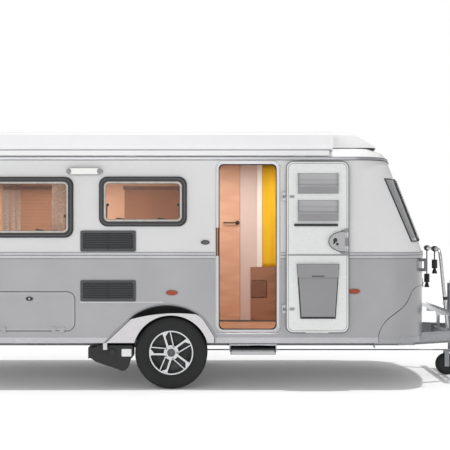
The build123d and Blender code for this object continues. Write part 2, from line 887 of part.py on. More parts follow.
# Entrance door, folded flat ahead of the doorway, and the frame that it closes on
hinge_face = door_pivot_y + door_hinge_out
door_rear_x = door_hinge_x + door_hinge_back
door_front_x = door_rear_x + door_width
door_face = hinge_face + door_thick
groove_z = 1178.0
groove_width = 5.0
groove_depth = 3.0
with BuildPart() as door_panel:
    side_slab(door_rear_x, door_front_x, door_low, door_high, -door_face, -hinge_face, door_corner_r)
    block(
        door_rear_x,
        door_front_x,
        -door_face,
        groove_depth - door_face,
        groove_z,
        groove_z + groove_width,
        mode=Mode.SUBTRACT,
    )
door_panel.part.label = "door_panel"
export_step(door_panel.part, "parts/door_panel.step")

# Door hinges: pins on the wall, knuckles and leaves on the door
hinge_heights = (707.0, 1684.0)
knuckle_r = 8.0
pin_r = 4.0
running_gap = 0.05
knuckle_mid = 12.0
knuckle_end = 36.0
knuckle_gap = 1.0
leaf_length = 42.0
leaf_thick = 4.5
leaf_seat = 10.0
hinge_bracket = 7.0
with BuildPart() as door_hinge_pins:
    for height in hinge_heights:
        rod_z(door_hinge_x, -door_pivot_y, height - knuckle_end, height + knuckle_end, pin_r)
        rod_z(door_hinge_x, -door_pivot_y, height - knuckle_mid, height + knuckle_mid, knuckle_r)
        block(
            door_hinge_x - hinge_bracket,
            door_hinge_x + hinge_bracket,
            -door_pivot_y,
            -half_width,
            height - knuckle_mid,
            height + knuckle_mid,
        )

leaf_face = hinge_face - leaf_seat
with BuildPart() as door_hinge_leaves:
    for height in hinge_heights:
        for low, high in (
            (height - knuckle_end, height - knuckle_mid - knuckle_gap),
            (height + knuckle_mid + knuckle_gap, height + knuckle_end),
        ):
            rod_z(door_hinge_x, -door_pivot_y, low, high, knuckle_r)
            block(door_hinge_x, door_rear_x, -leaf_face - leaf_thick, -leaf_face, low, high)
        block(
            door_rear_x,
            door_rear_x + leaf_length,
            -hinge_face,
            -leaf_face,
            height - knuckle_end,
            height + knuckle_end,
        )
        rod_z(
            door_hinge_x,
            -door_pivot_y,
            height - knuckle_end,
            height + knuckle_end,
            pin_r + running_gap,
            mode=Mode.SUBTRACT,
        )
door_hinge_leaves.part.label = "door_hinge_leaves"
export_step(door_hinge_leaves.part, "parts/door_hinge_leaves.step")

# Frame in the doorway, behind the closed door, with a pocket for its lock
lock_z = 1290.0
lock_r = 118.0
lock_edge = 6.0
jamb_step = 5.0
with BuildPart() as door_frame:
    side_slab(*doorway, -side_y, jamb_depth - side_y, door_corner_r + door_gap)
    side_slab(
        doorway[0] + jamb_width,
        doorway[1] - jamb_width,
        doorway[2] + jamb_width,
        doorway[3] - jamb_width,
        -side_y,
        jamb_depth - side_y,
        door_corner_r + door_gap - jamb_width,
        mode=Mode.SUBTRACT,
    )
    side_slab(
        doorway[0] - jamb_width,
        doorway[1] + jamb_width,
        doorway[2] - jamb_width / 2,
        doorway[3] + jamb_width / 2,
        -side_y,
        jamb_depth - side_y,
        door_corner_r,
    )
    side_slab(
        doorway[0] + jamb_width,
        doorway[1] - jamb_width,
        doorway[2] + jamb_width,
        doorway[3] - jamb_width,
        -side_y,
        jamb_depth - side_y,
        door_corner_r + door_gap - jamb_width,
        mode=Mode.SUBTRACT,
    )
    side_slab(*doorway, -side_y, jamb_step - side_y, door_corner_r + door_gap, mode=Mode.SUBTRACT)
    block(
        doorway[0],
        doorway[0] + jamb_width,
        -side_y,
        jamb_depth - side_y,
        lock_z - lock_r - door_gap,
        lock_z + lock_r + door_gap,
        mode=Mode.SUBTRACT,
    )
    block(doorway[0] - far, doorway[1] + far, -far, 0, 0, floor_top, mode=Mode.SUBTRACT)
    add(arch_solid(wheel_box_skin, -far, 0), mode=Mode.SUBTRACT)
door_frame.part.label = "door_frame"
export_step(door_frame.part, "parts/door_frame.step")

# Fittings on the door's inner face: two open pockets, a waste bin and a handrail strip
pocket_rear = 540.0
pocket_front = 890.0
pocket_heights = ((1708.0, 1773.0, 1885.0), (1471.0, 1540.0, 1652.0))
pocket_skin = 4.0
fitting_depth = 24.0
bin_low = 635.0
bin_high = 1092.0
bin_taper = 32.0
bin_groove_low = 976.0
strip_rear = 510.0
strip_front = 885.0
strip_low = 1428.0
strip_high = 1446.0
strip_proud = 12.0
fitting_face = door_face + fitting_depth
with BuildPart() as door_liner:
    for low, lip, high in pocket_heights:
        block(pocket_rear, pocket_front, -fitting_face, -door_face, low, high)
        block(
            pocket_rear + pocket_skin,
            pocket_front - pocket_skin,
            pocket_skin - fitting_face,
            -door_face - pocket_skin,
            low + pocket_skin,
            high + pocket_skin,
            mode=Mode.SUBTRACT,
        )
        block(
            pocket_rear + pocket_skin,
            pocket_front - pocket_skin,
            -fitting_face,
            -door_face - pocket_skin,
            lip,
            high + pocket_skin,
            mode=Mode.SUBTRACT,
        )
    with BuildSketch(Plane.XZ.offset(door_face)):
        with BuildLine():
            Polyline(
                (pocket_rear, bin_high),
                (pocket_front, bin_high),
                (pocket_front - bin_taper, bin_low),
                (pocket_rear + bin_taper, bin_low),
                close=True,
            )
        make_face()
    extrude(amount=fitting_depth)
    block(
        pocket_rear,
        pocket_front,
        -fitting_face,
        groove_depth - fitting_face,
        bin_groove_low,
        bin_groove_low + groove_width,
        mode=Mode.SUBTRACT,
    )
door_liner.part.label = "door_liner"
export_step(door_liner.part, "parts/door_liner.step")

# Half-round lock housing at the door's free edge, with its latch and the rail above it
lock_depth = 14.0
lock_dish_r = 84.0
latch_half = 34.0
latch_width = 26.0
latch_proud = 20.0
with BuildPart() as door_lock:
    with BuildSketch(Plane.XZ.offset(door_face)):
        with Locations((door_front_x - lock_edge, lock_z)):
            Circle(lock_r)
            Circle(lock_dish_r, mode=Mode.SUBTRACT)
        with Locations((door_front_x - lock_edge + lock_r / 2, lock_z)):
            Rectangle(lock_r, lock_r * 2, mode=Mode.SUBTRACT)
    extrude(amount=lock_depth)
    block(
        door_front_x - lock_edge - lock_r,
        door_front_x - lock_edge,
        -door_face - lock_edge,
        -door_face,
        lock_z - latch_half,
        lock_z + latch_half,
    )
    block(
        door_front_x - lock_edge - latch_width * 2,
        door_front_x - lock_edge - latch_width,
        -door_face - latch_proud,
        -door_face,
        lock_z - latch_half,
        lock_z + latch_half,
    )
    block(strip_rear, strip_front, -door_face - strip_proud, -door_face, strip_low, strip_high)
door_lock.part.label = "door_lock"
export_step(door_lock.part, "parts/door_lock.step")

# Service flap behind the wheel, hinged along its foot, with an oval lock
flap_gap = 3.0
flap_thick = 20.0
flap_pivot_out = 11.0
flap_pivot_drop = 7.0
flap_knuckle_r = 5.0
flap_pin_r = 2.5
flap_hinge_half = 56.0
flap_hinge_mid = 20.0
flap_hinge_shares = (0.18, 0.82)
flap_lock_x = -1789.0
flap_lock_z = 796.0
flap_lock_half_length = 34.0
flap_lock_half_height = 19.0
flap_lock_proud = 6.0
flap_pivot_y = half_width + flap_pivot_out
flap_pivot_z = flap_low - flap_pivot_drop
flap_arm = 4.0
with BuildPart() as service_flap:
    side_slab(
        flap_rear + flap_gap,
        flap_front - flap_gap,
        flap_low + flap_gap,
        flap_high - flap_gap,
        -half_width,
        flap_thick - half_width,
        flap_corner_r - flap_gap,
    )
    for share in flap_hinge_shares:
        hinge_x = flap_rear + (flap_front - flap_rear) * share
        for low, high in ((-flap_hinge_half, -flap_hinge_mid), (flap_hinge_mid, flap_hinge_half)):
            rod_x(hinge_x + low, hinge_x + high, -flap_pivot_y, flap_pivot_z, flap_knuckle_r)
            block(
                hinge_x + low,
                hinge_x + high,
                -flap_pivot_y - flap_knuckle_r,
                flap_arm - flap_pivot_y - flap_knuckle_r,
                flap_pivot_z,
                flap_low + flap_corner_r / 2,
            )
            block(
                hinge_x + low,
                hinge_x + high,
                -flap_pivot_y - flap_knuckle_r,
                -half_width,
                flap_low + flap_gap + flap_arm,
                flap_low + flap_corner_r / 2,
            )
        rod_x(
            hinge_x - flap_hinge_half,
            hinge_x + flap_hinge_half,
            -flap_pivot_y,
            flap_pivot_z,
            flap_pin_r + running_gap,
            mode=Mode.SUBTRACT,
        )
    with BuildSketch(Plane.XZ.offset(half_width)):
        with Locations((flap_lock_x, flap_lock_z)):
            Ellipse(flap_lock_half_length, flap_lock_half_height)
    extrude(amount=flap_lock_proud)
service_flap.part.label = "service_flap"
export_step(service_flap.part, "parts/service_flap.step")

with BuildPart() as flap_hinge_pins:
    for share in flap_hinge_shares:
        hinge_x = flap_rear + (flap_front - flap_rear) * share
        rod_x(hinge_x - flap_hinge_half, hinge_x + flap_hinge_half, -flap_pivot_y, flap_pivot_z, flap_pin_r)
        rod_x(
            hinge_x - flap_hinge_mid + knuckle_gap,
            hinge_x + flap_hinge_mid - knuckle_gap,
            -flap_pivot_y,
            flap_pivot_z,
            flap_knuckle_r,
        )
        block(
            hinge_x - flap_hinge_mid + knuckle_gap,
            hinge_x + flap_hinge_mid - knuckle_gap,
            -flap_pivot_y,
            -half_width,
            flap_pivot_z - flap_knuckle_r,
            flap_pivot_z + flap_knuckle_r,
        )

# Gas locker lid hinges at its top edge, outside the bowed front
lid_hinge_half = 40.0
lid_hinge_mid = 14.0
lid_hinge_y = 350.0
lid_hinge_z = 901.0
lid_knuckle_r = 6.0
lid_pin_r = 3.0
lid_leaf = 40.0
lid_leaf_thick = 5.0
lid_hinge_out = 11.0
lid_pivot_x = front_x + lid_hinge_out - bow_r + (bow_r**2 - lid_hinge_y**2) ** 0.5
lid_leaf_back = lid_pivot_x - lid_hinge_out - lid_leaf_thick
with BuildPart() as lid_hinge_pins:
    for hinge_y in (-lid_hinge_y, lid_hinge_y):
        rod_y(lid_pivot_x, lid_hinge_z, hinge_y - lid_hinge_half, hinge_y + lid_hinge_half, lid_pin_r)
        rod_y(lid_pivot_x, lid_hinge_z, hinge_y - lid_hinge_mid, hinge_y + lid_hinge_mid, lid_knuckle_r)
        block(
            lid_leaf_back,
            lid_pivot_x,
            hinge_y - lid_hinge_mid,
            hinge_y + lid_hinge_mid,
            lid_hinge_z,
            lid_hinge_z + lid_leaf,
        )
    add(ring_band(0, wall, skirt_z, belt_low), mode=Mode.SUBTRACT)

with BuildPart() as hinge_pins:
    add(door_hinge_pins.part)
    add(flap_hinge_pins.part)
    add(lid_hinge_pins.part)
hinge_pins.part.label = "hinge_pins"
export_step(hinge_pins.part, "parts/hinge_pins.step")

with BuildPart() as lid_hinge_leaves:
    for hinge_y in (-lid_hinge_y, lid_hinge_y):
        for low, high in (
            (hinge_y - lid_hinge_half, hinge_y - lid_hinge_mid - knuckle_gap),
            (hinge_y + lid_hinge_mid + knuckle_gap, hinge_y + lid_hinge_half),
        ):
            rod_y(lid_pivot_x, lid_hinge_z, low, high, lid_knuckle_r)
            block(
                lid_leaf_back,
                lid_pivot_x,
                low,
                high,
                lid_hinge_z - lid_leaf,
                lid_hinge_z,
            )
        rod_y(
            lid_pivot_x,
            lid_hinge_z,
            hinge_y - lid_hinge_half,
            hinge_y + lid_hinge_half,
            lid_pin_r + running_gap,
            mode=Mode.SUBTRACT,
        )
    add(ring_band(0, wall, skirt_z, belt_low), mode=Mode.SUBTRACT)

with BuildPart() as gas_locker_lid:
    add(lid_moulding.part)
    add(lid_hinge_leaves.part)
gas_locker_lid.part.label = "gas_locker_lid"
export_step(gas_locker_lid.part, "parts/gas_locker_lid.step")

# Wheels: tyres turned about their axle line, rims with five pairs of blades
tyre_shoulder = 24.0
tyre_shoulder_drop = 8.0
tyre_bulge_r = 262.0
tyre_bead_depth = 24.0
rim_skin = 7.0
rim_face_depth = 16.0
rim_back_depth = 172.0
rim_well_r = 176.0
blade_depth = 20.0
blade_thick = 24.0
slim_depth = 32.0
slim_thick = 14.0
hub_r = 46.0
hub_cap_r = 35.0
hub_cap_proud = 6.0
hub_back_depth = 150.0
stub_r = 18.0
blade_count = 5
blade_first_angle = 106.0
bolt_ring_r = 56.0
bolt_r = 9.0
blade_points = ((38.0, 6.0), (150.0, 10.0), (184.0, -30.0), (184.0, 30.0), (150.0, 26.0), (38.0, 24.0))
slim_points = ((38.0, -38.0), (184.0, -46.0), (184.0, -37.0), (38.0, -29.0))
side_signs = {"near": -1, "far": 1}
wheel_axis = Axis((axle_x, 0, axle_z), (0, 1, 0))


def turned(points, side):
    """A ring turned about the axle from points given as depth from the tyre's outer face and radius."""
    places = [(side * (tyre_outer_y - depth), axle_z + radius) for depth, radius in points]
    with BuildPart() as ring:
        with BuildSketch(Plane.YZ.offset(axle_x)):
            with BuildLine():
                Polyline(*places, close=True)
            make_face()
        revolve(axis=wheel_axis)
    return ring.part


def wheel_disc(radius, depth_low, depth_high, side, mode=Mode.ADD):
    """A disc on the axle line between two depths."""
    y_low = min(side * (tyre_outer_y - depth_low), side * (tyre_outer_y - depth_high))
    rod_y(axle_x, axle_z, y_low, y_low + depth_high - depth_low, radius, mode=mode)


def blade_plate(points, depth, thickness, side):
    """Flat blades spaced round the hub, drawn as places along and across each one."""
    y_high = max(-side * (depth - tyre_outer_y), -side * (depth + thickness - tyre_outer_y))
    with BuildSketch(Plane((axle_x, y_high, axle_z), x_dir=(1, 0, 0), z_dir=(0, -1, 0))) as plate:
        with PolarLocations(0, blade_count, start_angle=blade_first_angle):
            Polygon(*points, align=None)
    extrude(plate.sketch, amount=thickness)


for side_name, side in side_signs.items():
    with BuildPart() as tyre:
        add(
            turned(
                (
                    (tyre_bead_depth, tyre_bead_r),
                    (tyre_bead_depth / 4, (tyre_bead_r + tyre_bulge_r) / 2),
                    (0, tyre_bulge_r),
                    (tyre_shoulder_drop, tyre_r - tyre_shoulder),
                    (tyre_shoulder, tyre_r - tyre_shoulder_drop / 2),
                    (tyre_shoulder * 2, tyre_r),
                    (tyre_width - tyre_shoulder * 2, tyre_r),
                    (tyre_width - tyre_shoulder, tyre_r - tyre_shoulder_drop / 2),
                    (tyre_width - tyre_shoulder_drop, tyre_r - tyre_shoulder),
                    (tyre_width, tyre_bulge_r),
                    (tyre_width - tyre_bead_depth / 4, (tyre_bead_r + tyre_bulge_r) / 2),
                    (tyre_width - tyre_bead_depth, tyre_bead_r),
                ),
                side,
            )
        )
    tyre.part.label = f"tyre_{side_name}"
    export_step(tyre.part, f"parts/tyre_{side_name}.step")

    with BuildPart() as rim:
        add(
            turned(
                (
                    (rim_face_depth, tyre_bead_r),
                    (rim_back_depth, tyre_bead_r),
                    (rim_back_depth, tyre_bead_r - rim_skin),
                    (rim_back_depth - tyre_bead_depth, rim_well_r),
                    (rim_face_depth + tyre_bead_depth, rim_well_r),
                    (rim_face_depth, tyre_bead_r - rim_skin * 2),
                ),
                side,
            )
        )
        blade_plate(blade_points, blade_depth, blade_thick, side)
        blade_plate(slim_points, slim_depth, slim_thick, side)
        wheel_disc(hub_r, blade_depth, hub_back_depth, side)
        wheel_disc(bolt_ring_r + bolt_r, slim_depth, slim_depth + slim_thick, side)
        wheel_disc(hub_cap_r, blade_depth - hub_cap_proud, blade_depth, side)
        wheel_disc(stub_r + running_gap, slim_depth + slim_thick, hub_back_depth, side, mode=Mode.SUBTRACT)
    rim.part.label = f"rim_{side_name}"
    export_step(rim.part, f"parts/rim_{side_name}.step")

# Axle: a tube across, trailing arms, back plates and stub shafts
beam_y = 700.0
axle_tube_r = 38.0
axle_tube_ahead = 165.0
axle_tube_z = 312.0
axle_tube_half = 735.0
arm_width = 40.0
arm_height = 60.0
back_plate_r = 118.0
back_plate_y = 775.0
back_plate_thick = 22.0
stub_end_gap = 6.0
rail_low = 355.0
rail_high = sill_rail_top
saddle_length = 120.0
saddle_width = 60.0
tube_x = axle_x + axle_tube_ahead
stub_end_y = tyre_outer_y - slim_depth - slim_thick - stub_end_gap
with BuildPart() as axle_beam:
    rod_y(tube_x, axle_tube_z, -axle_tube_half, axle_tube_half, axle_tube_r)
    for side in (-1, 1):
        inner = side * axle_tube_half
        outer = side * back_plate_y
        block(
            axle_x - arm_height,
            tube_x + arm_height / 2,
            min(inner, outer),
            max(inner, outer),
            axle_z - arm_height / 2,
            axle_z + arm_height / 2,
        )
        plate_end = side * (back_plate_y + back_plate_thick)
        rod_y(axle_x, axle_z, min(outer, plate_end), max(outer, plate_end), back_plate_r)
        stub_end = side * stub_end_y
        rod_y(axle_x, axle_z, min(outer, stub_end), max(outer, stub_end), stub_r)
        saddle_y = side * beam_y
        block(
            tube_x - saddle_length / 2,
            tube_x + saddle_length / 2,
            saddle_y - saddle_width / 2,
            saddle_y + saddle_width / 2,
            axle_tube_z,
            rail_low,
        )

# Chassis: two long beams of I section that close on the drawbar, with cross members
beam_width = 50.0
beam_skin = 6.0
beam_rear_x = -2858.0
drawbar_foot_x = 1500.0
drawbar_nose_x = 2700.0
drawbar_nose_y = 72.0
member_height = 60.0
member_width = 50.0
member_places = (-2820.0, -1700.0, -900.0, 420.0, 1440.0)
nose_plate_length = 150.0
jockey_x = 2080.0
jockey_member_back = 52.0
jockey_member_x = jockey_x - jockey_member_back - member_width
drawbar_slope = (beam_y - drawbar_nose_y) / (drawbar_nose_x - drawbar_foot_x)
jockey_member_half = beam_y - (jockey_member_x - drawbar_foot_x) * drawbar_slope
member_low = (rail_low + rail_high - member_height) / 2
jack_pad_x = 200.0
jack_pad_length = 120.0
jack_pad_width = 70.0
jack_pad_thick = 8.0
with BuildPart() as chassis_frame:
    for low, high, width in (
        (rail_low, rail_low + beam_skin, beam_width),
        (rail_low, rail_high, beam_skin),
        (rail_high - beam_skin, rail_high, beam_width),
    ):
        with BuildSketch(Plane.XY.offset(low)):
            for side in (-1, 1):
                with BuildLine() as run:
                    Polyline(
                        (beam_rear_x, side * beam_y),
                        (drawbar_foot_x, side * beam_y),
                        (drawbar_nose_x, side * drawbar_nose_y),
                    )
                trace(line_width=width)
        extrude(amount=high - low)
    for member_x in member_places:
        block(
            member_x - member_width / 2,
            member_x + member_width / 2,
            -beam_y,
            beam_y,
            member_low,
            member_low + member_height,
        )
    block(
        jockey_x - jockey_member_back - member_width,
        jockey_x - jockey_member_back,
        -jockey_member_half,
        jockey_member_half,
        member_low,
        member_low + member_height,
    )
    block(
        drawbar_nose_x - nose_plate_length,
        drawbar_nose_x,
        -drawbar_nose_y,
        drawbar_nose_y,
        rail_low,
        rail_low + beam_skin,
    )
    for side in (-1, 1):
        block(
            jack_pad_x - jack_pad_length / 2,
            jack_pad_x + jack_pad_length / 2,
            side * beam_y - jack_pad_width / 2,
            side * beam_y + jack_pad_width / 2,
            rail_low - jack_pad_thick,
            rail_low,
        )
chassis_frame.part.label = "chassis_frame"
export_step(chassis_frame.part, "parts/chassis_frame.step")

# Corner steadies: U brackets under the floor and legs stowed towards the axle
steady_y = 776.0
steady_pivot_z = 385.0
steady_front_pivot_x = 1580.0
steady_rear_pivot_x = -2706.0
steady_bracket_out = 24.0
steady_bracket_in = 119.0
steady_bracket_low = 365.0
steady_plate = 5.0
steady_gap = 6.0
steady_leg_half = 13.0
steady_leg_high = 12.0
steady_leg_reach = 340.0
steady_tail = 15.0
steady_pin_r = 6.0
steady_foot = 44.0
steady_foot_thick = 8.0
steady_inner = steady_leg_half + steady_gap
steady_outer = steady_inner + steady_plate
steady_places = {
    "front_near": (steady_front_pivot_x, 1, -steady_y),
    "front_far": (steady_front_pivot_x, 1, steady_y),
    "rear_near": (steady_rear_pivot_x, -1, -steady_y),
    "rear_far": (steady_rear_pivot_x, -1, steady_y),
}
with BuildPart() as steady_brackets:
    for pivot_x, way, y in steady_places.values():
        ends = (pivot_x + way * steady_bracket_out, pivot_x - way * steady_bracket_in)
        block(min(ends), max(ends), y - steady_outer, y + steady_outer, steady_bracket_low, sill_rail_top)
        block(
            min(ends) - overrun,
            max(ends) + overrun,
            y - steady_inner,
            y + steady_inner,
            0,
            sill_rail_top - steady_plate,
            mode=Mode.SUBTRACT,
        )
        rod_y(pivot_x, steady_pivot_z, y - steady_outer, y + steady_outer, steady_pin_r)
        beam_edge = (beam_y + beam_width / 2) * (y / steady_y)
        block(
            max(ends) - steady_bracket_in if way < 0 else min(ends),
            max(ends) if way < 0 else drawbar_foot_x,
            min(beam_edge, y),
            max(beam_edge, y),
            sill_rail_top - steady_plate,
            sill_rail_top,
        )

for steady_name, (pivot_x, way, y) in steady_places.items():
    with BuildPart() as steady_leg:
        ends = (pivot_x + way * steady_tail, pivot_x - way * steady_leg_reach)
        block(
            min(ends),
            max(ends),
            y - steady_leg_half,
            y + steady_leg_half,
            steady_pivot_z - steady_leg_high,
            steady_pivot_z + steady_leg_high,
        )
        foot_ends = (ends[1], ends[1] + way * steady_foot_thick)
        block(
            min(foot_ends),
            max(foot_ends),
            y - steady_foot,
            y + steady_foot,
            steady_pivot_z - steady_foot,
            steady_pivot_z + steady_foot / 2,
        )
        rod_y(
            pivot_x,
            steady_pivot_z,
            y - steady_outer,
            y + steady_outer,
            steady_pin_r + running_gap,
            mode=Mode.SUBTRACT,
        )
    steady_leg.part.label = f"steady_leg_{steady_name}"
    export_step(steady_leg.part, f"parts/steady_leg_{steady_name}.step")

# Coupling: overrun housing between the beams, a gaiter, and the head over the ball socket
coupling_x = 2990.0
coupling_z = 405.0
head_r = 40.0
head_low = 374.0
head_high = 446.0
socket_r = 25.2
socket_high = 404.0
socket_x = coupling_x - head_r
housing_rear = 2420.0
housing_front = 2712.0
housing_half = 42.0
gaiter_front = 2836.0
gaiter_r = 36.0
gaiter_fold_r = 29.0
gaiter_folds = 6
neck_half = 30.0
grip_length = 120.0
grip_rise = 34.0
grip_thick = 14.0
with BuildPart() as coupling_head:
    rod_z(socket_x, 0, head_low, head_high, head_r)
    block(gaiter_front, socket_x, -neck_half, neck_half, head_low + neck_half / 2, head_high)
    rod_z(socket_x, 0, head_low - overrun, socket_high, socket_r, mode=Mode.SUBTRACT)
    block(
        gaiter_front,
        gaiter_front + grip_length,
        -grip_thick,
        grip_thick,
        head_high,
        head_high + grip_rise,
    )
    block(
        gaiter_front + grip_thick * 2,
        gaiter_front + grip_length - grip_thick,
        -grip_thick,
        grip_thick,
        head_high,
        head_high + grip_rise - grip_thick,
        mode=Mode.SUBTRACT,
    )
coupling_head.part.label = "coupling_head"
export_step(coupling_head.part, "parts/coupling_head.step")

brake_lever_x = 2480.0
brake_lever_r = 11.0
brake_lever_high = 640.0
brake_lever_lean = 60.0
with BuildPart() as overrun_unit:
    block(
        housing_rear,
        housing_front,
        -housing_half,
        housing_half,
        coupling_z - housing_half,
        coupling_z + housing_half,
    )
    block(
        drawbar_nose_x - nose_plate_length,
        drawbar_nose_x - nose_plate_length / 2,
        -drawbar_nose_y,
        drawbar_nose_y,
        rail_low + beam_skin,
        coupling_z,
    )
    fold = (gaiter_front - housing_front) / gaiter_folds
    for step in range(gaiter_folds):
        fold_x = housing_front + fold * step
        rod_x(fold_x, fold_x + fold / 2, 0, coupling_z, gaiter_r)
        rod_x(fold_x + fold / 2, fold_x + fold, 0, coupling_z, gaiter_fold_r)
    with BuildSketch(Plane.XY.offset(coupling_z + housing_half)):
        with Locations((brake_lever_x, 0)):
            Circle(brake_lever_r)
    with BuildSketch(Plane.XY.offset(brake_lever_high)):
        with Locations((brake_lever_x - brake_lever_lean, 0)):
            Circle(brake_lever_r)
    loft()
overrun_unit.part.label = "overrun_unit"
export_step(overrun_unit.part, "parts/overrun_unit.step")

# Brake rod under the floor, from the overrun unit back to the axle
brake_rod_r = 6.0
brake_rod_z = 246.0
brake_rod_y = -75.0
brake_rod_front = 2460.0
brake_link = 10.0
with BuildPart() as brake_rod:
    rod_x(tube_x, brake_rod_front, brake_rod_y, brake_rod_z, brake_rod_r)
    block(
        brake_rod_front - brake_link,
        brake_rod_front + brake_link,
        brake_rod_y - brake_link,
        brake_link - housing_half,
        brake_rod_z - brake_link,
        coupling_z - housing_half,
    )
    block(
        tube_x - brake_link,
        tube_x + brake_link,
        brake_rod_y - brake_link,
        brake_rod_y + brake_link,
        brake_rod_z - brake_link,
        axle_tube_z,
    )

with BuildPart() as axle:
    add(axle_beam.part)
    add(brake_rod.part)
axle.part.label = "axle"
export_step(axle.part, "parts/axle.step")

# Jockey wheel: clamped tube, sliding stem, swivelling fork and wheel
jockey_tube_r = 30.0
jockey_tube_low = member_low
jockey_tube_high = 880.0
jockey_cap = 12.0
jockey_stem_r = 24.0
jockey_stem_low = 231.3
jockey_stem_high = 640.0
jockey_clamp_half = 35.0
jockey_pin_r = 10.0
jockey_pin_high = 242.0
jockey_plate_r = 34.0
jockey_plate_low = 219.0
jockey_wheel_r = 103.0
jockey_hub_r = 68.0
jockey_wheel_half = 30.0
jockey_trail = 40.0
fork_in = 36.0
fork_out = 42.0
fork_half_length = 22.0
fork_foot = 22.0
jockey_axle_r = 8.0
crank_r = 6.0
crank_reach = 110.0
crank_grip = 60.0
jockey_wheel_x = jockey_x - jockey_trail
jockey_plate_high = jockey_stem_low - rest_gap
with BuildPart() as jockey_tube:
    rod_z(jockey_x, 0, jockey_tube_low, jockey_tube_high, jockey_tube_r)
    block(
        jockey_x - jockey_member_back,
        jockey_x,
        -jockey_clamp_half,
        jockey_clamp_half,
        member_low,
        member_low + member_height,
    )
    rod_z(
        jockey_x,
        0,
        jockey_tube_low,
        jockey_tube_high - jockey_cap,
        jockey_stem_r + running_gap,
        mode=Mode.SUBTRACT,
    )
    rod_z(jockey_x, 0, jockey_tube_high, jockey_tube_high + crank_grip / 2, crank_r)
    rod_x(jockey_x, jockey_x + crank_reach, 0, jockey_tube_high + crank_grip / 2, crank_r)
    rod_z(
        jockey_x + crank_reach,
        0,
        jockey_tube_high + crank_grip / 2 - crank_r,
        jockey_tube_high + crank_grip * 1.5,
        crank_r + crank_r / 2,
    )
jockey_tube.part.label = "jockey_tube"
export_step(jockey_tube.part, "parts/jockey_tube.step")

with BuildPart() as jockey_stem:
    rod_z(jockey_x, 0, jockey_stem_low, jockey_stem_high, jockey_stem_r)
    rod_z(
        jockey_x,
        0,
        jockey_stem_low,
        jockey_pin_high + rest_gap,
        jockey_pin_r + running_gap,
        mode=Mode.SUBTRACT,
    )
jockey_stem.part.label = "jockey_stem"
export_step(jockey_stem.part, "parts/jockey_stem.step")

with BuildPart() as jockey_fork:
    rod_z(jockey_x, 0, jockey_plate_low, jockey_plate_high, jockey_plate_r)
    rod_z(jockey_x, 0, jockey_plate_high, jockey_pin_high, jockey_pin_r)
    block(
        jockey_wheel_x - fork_half_length,
        jockey_x,
        -fork_out,
        fork_out,
        jockey_plate_low,
        jockey_plate_high,
    )
    for side in (-1, 1):
        cheek = (side * fork_in, side * fork_out)
        block(
            jockey_wheel_x - fork_half_length,
            jockey_wheel_x + fork_half_length,
            min(cheek),
            max(cheek),
            jockey_wheel_r - fork_foot,
            jockey_plate_high,
        )
    rod_y(jockey_wheel_x, jockey_wheel_r, -fork_out, fork_out, jockey_axle_r)
jockey_fork.part.label = "jockey_fork"
export_step(jockey_fork.part, "parts/jockey_fork.step")

with BuildPart() as jockey_tyre:
    rod_y(jockey_wheel_x, jockey_wheel_r, -jockey_wheel_half, jockey_wheel_half, jockey_wheel_r)
    fillet(jockey_tyre.edges().filter_by(GeomType.CIRCLE), jockey_wheel_half / 2)
    rod_y(
        jockey_wheel_x,
        jockey_wheel_r,
        -jockey_wheel_half,
        jockey_wheel_half,
        jockey_hub_r,
        mode=Mode.SUBTRACT,
    )
jockey_tyre.part.label = "jockey_tyre"
export_step(jockey_tyre.part, "parts/jockey_tyre.step")

with BuildPart() as jockey_hub:
    rod_y(jockey_wheel_x, jockey_wheel_r, -jockey_wheel_half, jockey_wheel_half, jockey_hub_r)
    for face_y in (-jockey_wheel_half, jockey_wheel_half - jockey_cap):
        rod_y(
            jockey_wheel_x, jockey_wheel_r, face_y, face_y + jockey_cap, jockey_hub_r - jockey_cap, mode=Mode.SUBTRACT
        )
        rod_y(jockey_wheel_x, jockey_wheel_r, face_y, face_y + jockey_cap, jockey_axle_r * 2)
    rod_y(
        jockey_wheel_x,
        jockey_wheel_r,
        -jockey_wheel_half,
        jockey_wheel_half,
        jockey_axle_r + running_gap,
        mode=Mode.SUBTRACT,
    )
jockey_hub.part.label = "jockey_hub"
export_step(jockey_hub.part, "parts/jockey_hub.step")

